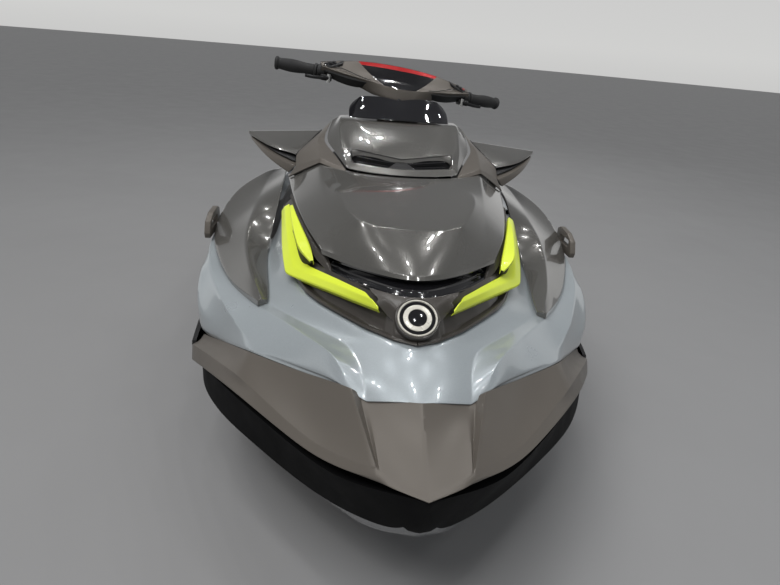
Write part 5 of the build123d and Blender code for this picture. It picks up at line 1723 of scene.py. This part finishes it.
# ---------------------------------------------------------------------------
# seats: foam under stitched covers
# ---------------------------------------------------------------------------
def puff(ob, voxel, cap, pressure=4.0, pin=None, steps=20):
    """remeshes a closed pad and lets it swell under pressure, each point by at most cap metres"""
    m = ob.modifiers.new("r", "REMESH")
    m.mode = "VOXEL"
    m.voxel_size = voxel
    bake(ob, 180)
    me = ob.data
    n = len(me.vertices)
    rest = np.zeros(n * 3)
    me.vertices.foreach_get("co", rest)
    rest = rest.reshape(-1, 3)
    new = rest.copy()
    sc = bpy.context.scene
    g = ob.vertex_groups.new(name="pin")
    held = [i for i in range(n) if pin(rest[i])]
    g.add(held, 1.0, "REPLACE")
    cl = ob.modifiers.new("c", "CLOTH")
    st = cl.settings
    st.quality = 5
    st.mass = 0.3
    st.tension_stiffness = 12
    st.compression_stiffness = 12
    st.shear_stiffness = 6
    st.bending_stiffness = 0.6
    st.use_pressure = True
    st.uniform_pressure_force = pressure
    st.effector_weights.gravity = 0
    st.vertex_group_mass = "pin"
    cl.collision_settings.use_collision = False
    cl.collision_settings.use_self_collision = False
    cl.point_cache.frame_start = 1
    cl.point_cache.frame_end = steps
    for f in range(1, steps + 1):
        sc.frame_set(f)
    dg = bpy.context.evaluated_depsgraph_get()
    ev = ob.evaluated_get(dg)
    if len(ev.data.vertices) == n:
        new = np.array([tuple(v.co) for v in ev.data.vertices])
    ob.modifiers.remove(cl)
    ob.vertex_groups.clear()
    sc.frame_set(1)
    d = new - rest
    ln = np.linalg.norm(d, axis=1)
    k = np.minimum(1.0, cap / np.maximum(ln, 1e-9))
    new = rest + d * k[:, None]
    me.vertices.foreach_set("co", new.ravel())
    me.update()
    s = ob.modifiers.new("sm", "SMOOTH")
    s.factor = 0.5
    s.iterations = 6
    s = ob.modifiers.new("s", "SUBSURF")
    s.levels = s.render_levels = 1
    return bake(ob, 180)


def groove(ob, lines, depth, width):
    """presses seams into a dense mesh: lines are runs of points in metres"""
    from mathutils.kdtree import KDTree
    pts = []
    for ln in lines:
        q = resample([tuple(p) for p in ln], max(2, int(sum((Vector(a) - Vector(b)).length for a, b in zip(ln, ln[1:])) / 0.0015)))
        pts += q
    kd = KDTree(len(pts))
    for i, p in enumerate(pts):
        kd.insert(p, i)
    kd.balance()
    me = ob.data
    nm = [v.normal.copy() for v in me.vertices]
    for v, n in zip(me.vertices, nm):
        d = kd.find(v.co)[2]
        if d < width * 3:
            v.co = v.co - n * depth * math.exp(-(d / width) ** 2)
    me.update()


def drape(ob, pts, lift=0.0, frm=(0, 0, 1)):
    """drops a run of points in metres onto the mesh along frm, and lifts it off by lift"""
    bv = BVHTree.FromPolygons([v.co for v in ob.data.vertices], [tuple(p.vertices) for p in ob.data.polygons])
    out = []
    d = Vector(frm).normalized()
    for p in pts:
        p = Vector(p)
        h = bv.ray_cast(p + d * 0.25, -d)
        if h[0] is None:
            h = bv.find_nearest(p)
        out.append((Vector(h[0]) + Vector(h[1]) * lift, Vector(h[1])))
    return out


def stitches(name, ob, pts, frm, mats="thread", ln=0.0052, gap=0.0032, r=0.00055, off=0.0003):
    """short stitches that follow the surface"""
    d = [0.0]
    for a, b in zip(pts, pts[1:]):
        d.append(d[-1] + (Vector(b) - Vector(a)).length)
    n = int(d[-1] / (ln + gap))
    P_ = np.array([tuple(p) for p in pts])
    at = lambda s: tuple(float(np.interp(s, d, P_[:, k])) for k in range(3))
    v, f = [], []
    starts = [at(i * (ln + gap)) for i in range(n)]
    ends = [at(i * (ln + gap) + ln) for i in range(n)]
    A_ = drape(ob, starts, off, frm)
    B_ = drape(ob, ends, off, frm)
    for (a, na), (b, nb) in zip(A_, B_):
        t = (b - a)
        if t.length > ln * 2.5 or t.length < 1e-4:
            continue
        t.normalize()
        u = na.cross(t).normalized()
        w = na
        base = len(v)
        for s, k in ((0.0, 0.35), (0.2, 1.0), (0.8, 1.0), (1.0, 0.35)):
            c_ = a.lerp(b, s)
            for j in range(6):
                g = 2 * pi * j / 6
                v.append(tuple(c_ + u * cos(g) * r * 1.5 * k + w * (sin(g) * r * k + (r * 0.9 if 0 < s < 1 else -r * 0.4))))
        for i in range(3):
            for j in range(6):
                l = (j + 1) % 6
                f.append([base + i * 6 + j, base + i * 6 + l, base + (i + 1) * 6 + l, base + (i + 1) * 6 + j])
        f.append([base + j for j in range(6)][::-1])
        f.append([base + 18 + j for j in range(6)])
    me = bpy.data.meshes.new(name)
    me.from_pydata(v, [], f)
    me.update()
    me.materials.append(MATS[mats])
    for p in me.polygons:
        p.use_smooth = True
    return link(bpy.data.objects.new(name, me))


def mtube(name, pts, r, mats, seg=10):
    """tube along points in metres"""
    q = [(p[0] * 1000 + OX, p[1] * 1000, p[2] * 1000 + OZ) for p in pts]
    return tube(name, q, r, mats, seg=seg)


def ped_z(x):
    a = [(350, 420), (545, 640), (1040, 690), (1084, 690), (1090, 620), (1808, 600)]
    return float(np.interp(x, [p[0] for p in a], [p[1] for p in a]))


def seat(name, table, insert, node, end_r=26):
    """table: x, half width, top; insert: half width of the middle panel by x"""
    c = Cage()
    rows = []
    n = len(table)
    for i, (x, w, zt) in enumerate(table):
        zb = ped_z(x) + 5
        e = 1.0
        if i in (0, n - 1):
            e = 0.90
            zt -= 20
        w = w - 5
        h = zt - zb
        rows.append([(x, 0, zb), (x, (w - 16) * e, zb), (x, (w - 4) * e, zb + 10), (x, w * e, zb + 0.38 * h), (x, (w - 5) * e, zb + 0.68 * h), (x, (w - 18) * e, zt - 10), (x, (w - 40) * e, zt + 1), (x, insert * 0.9, zt + 1), (x, insert * 0.5, zt - 5), (x, 0, zt - 8)])
    c.grid(rows)
    for r in (rows[0], rows[-1]):
        m = len(r)
        # closing face as quads towards the middle
        mid = (r[0][0], 0, (r[0][2] + r[-1][2]) / 2)
        ring = r
        c.face([ring[0], ring[1], mid])
        for k in range(1, m - 1):
            c.face([ring[k], ring[k + 1], mid])
        c.crease(r, 0.25)
    for k in (1,):
        c.crease([r[k] for r in rows], 0.6)
    c.mirrored()
    ob = c.build(name, ["vinyl", "vinyl_grey"], level=2, sharp=180)
    zlow = W((0, 0, 640)).z
    return ob


def finish_seat(ob, name, node, xs, ins, side, z_side, x0, x1, insert_channels, voxel):
    """swell, seams, piping, stitches"""
    def pinf(p):
        x = p[0] * 1000 + OX
        return p[2] * 1000 + OZ < ped_z(x) + 16
    puff(ob, voxel, 0.006, pressure=4.0, pin=pinf)
    # seam runs in metres, on the surface
    runs, piping, stitch = [], [], []
    for s in (1, -1):
        a = [W((x, s * ins(x), 800)) for x in xs]
        b = [p for p, q in drape(ob, a, 0, (0, 0, 1))]
        runs.append(b)
        stitch.append((a, (0, 0, 1), s * 0.0062))
        sd = [W((x, s * 260, z_side(x))) for x in xs]
        e2 = [p for p, q in drape(ob, sd, 0, (0, s, 0))]
        runs.append(e2)
        piping.append(sd)
    for x in insert_channels:
        a = [W((x + 10 * (1 - abs(t)), t * ins(x) * 0.97, 800)) for t in np.linspace(-1, 1, 15)]
        b = [p for p, q in drape(ob, a, 0, (0, 0, 1))]
        runs.append(b)
    groove(ob, runs, 0.0036, 0.0044)
    extra = []
    # material zones: grey sides
    me = ob.data
    for p in me.polygons:
        q = p.center
        x, y, z = q.x * 1000 + OX, abs(q.y * 1000), q.z * 1000 + OZ
        p.material_index = 1 if (z < z_side(x) and x0 + 14 < x < x1 - 14 and z > ped_z(x) + 12) else 0
    for sd in piping:
        s = 1 if sd[0].y > 0 else -1
        pp = [p for p, q in drape(ob, [Vector(p) for p in smooth_run(sd, 60)], 0.0002, (0, s, 0))]
        extra.append(mtube("pip", pp, 2.1, "matte", seg=10))
    for a, frm, off in stitch:
        for o in (off, -off):
            line = [Vector((p.x, p.y + o, p.z)) for p in a]
            extra.append(stitches("st", ob, smooth_run(line, 80), frm))
    ob.name = name + "_pad"
    for p in me.polygons:
        p.use_smooth = True
    return extra


TF = [(1094, 150, 722), (1112, 160, 726), (1260, 172, 718), (1450, 165, 716), (1650, 141, 724), (1782, 121, 740), (1802, 117, 740)]
ob = seat("seat_front_cushion", TF, 62, "seat_front")
xs = [1108 + i * (1790 - 1108) / 23 for i in range(24)]


def insf(x):
    return float(np.interp(x, [1094, 1260, 1450, 1650, 1802], [92, 98, 90, 74, 62]))


ex = finish_seat(ob, "seat_front_cushion", "seat_front", xs, insf, None, lambda x: float(np.interp(x, [1094, 1300, 1550, 1802], [664, 662, 664, 690])), 1094, 1802,
                 [1180 + 62 * i for i in range(9)], 0.008)
trim = join("seat_front_stitching", ex)
ob.name = "seat_front_cushion"
done(ob, "craft", "seat_vinyl", "seat_front")
done(trim, "craft", "seat_vinyl")

TR = [(550, 140, 744), (568, 150, 752), (700, 164, 766), (850, 173, 782), (1010, 175, 806), (1066, 170, 806), (1081, 164, 800)]
ob = seat("seat_rear_cushion", TR, 66, "seat_rear")
xs = [564 + i * (1066 - 564) / 19 for i in range(20)]


def insr(x):
    return float(np.interp(x, [550, 800, 1081], [78, 98, 100]))


ex = finish_seat(ob, "seat_rear_cushion", "seat_rear", xs, insr, None, lambda x: float(np.interp(x, [550, 800, 1081], [694, 716, 742])), 550, 1081,
                 [626 + 62 * i for i in range(7)], 0.008)
trim = join("seat_rear_stitching", ex)
done(ob, "craft", "seat_vinyl", "seat_rear")
done(trim, "craft", "seat_vinyl")


# ---------------------------------------------------------------------------
# nodes that keep their shape: softened edges and finishes
# ---------------------------------------------------------------------------
KEEP = {
    "engine": ("enginegrey", 3.0), "storage_bin": ("bin", 2.0), "pump_housing": ("alloy", 1.0), "impeller": ("steel", 0.6),
    "trim_ring": ("barblack", 1.0), "steering_nozzle": ("barblack", 0.8), "reverse_bucket": ("barblack", 1.0),
    "ride_plate": ("alloy", 1.5), "intake_grate": ("alloy", 1.0), "step_brackets": ("steel", 0.8), "boarding_step": ("barblack", 1.0),
    "tow_eye": ("steel", 1.2), "bow_eye": ("steel", 1.2), "steering_mount": ("barblack", 1.0), "handlebar": ("barblack", 0.5),
}
for n, o in nodes.items():
    if o.hide_render:
        continue
    mname, bw = KEEP.get(n, ("bin", 1.0))
    o.data.materials.clear()
    o.data.materials.append(MATS[mname])
    b = o.modifiers.new("soft", "BEVEL")
    b.width = bw * 0.001
    b.segments = 2
    b.limit_method = "ANGLE"
    b.angle_limit = radians(40)
    b.use_clamp_overlap = True
    for p in o.data.polygons:
        p.use_smooth = True
    o.data.set_sharp_from_angle(angle=radians(32))
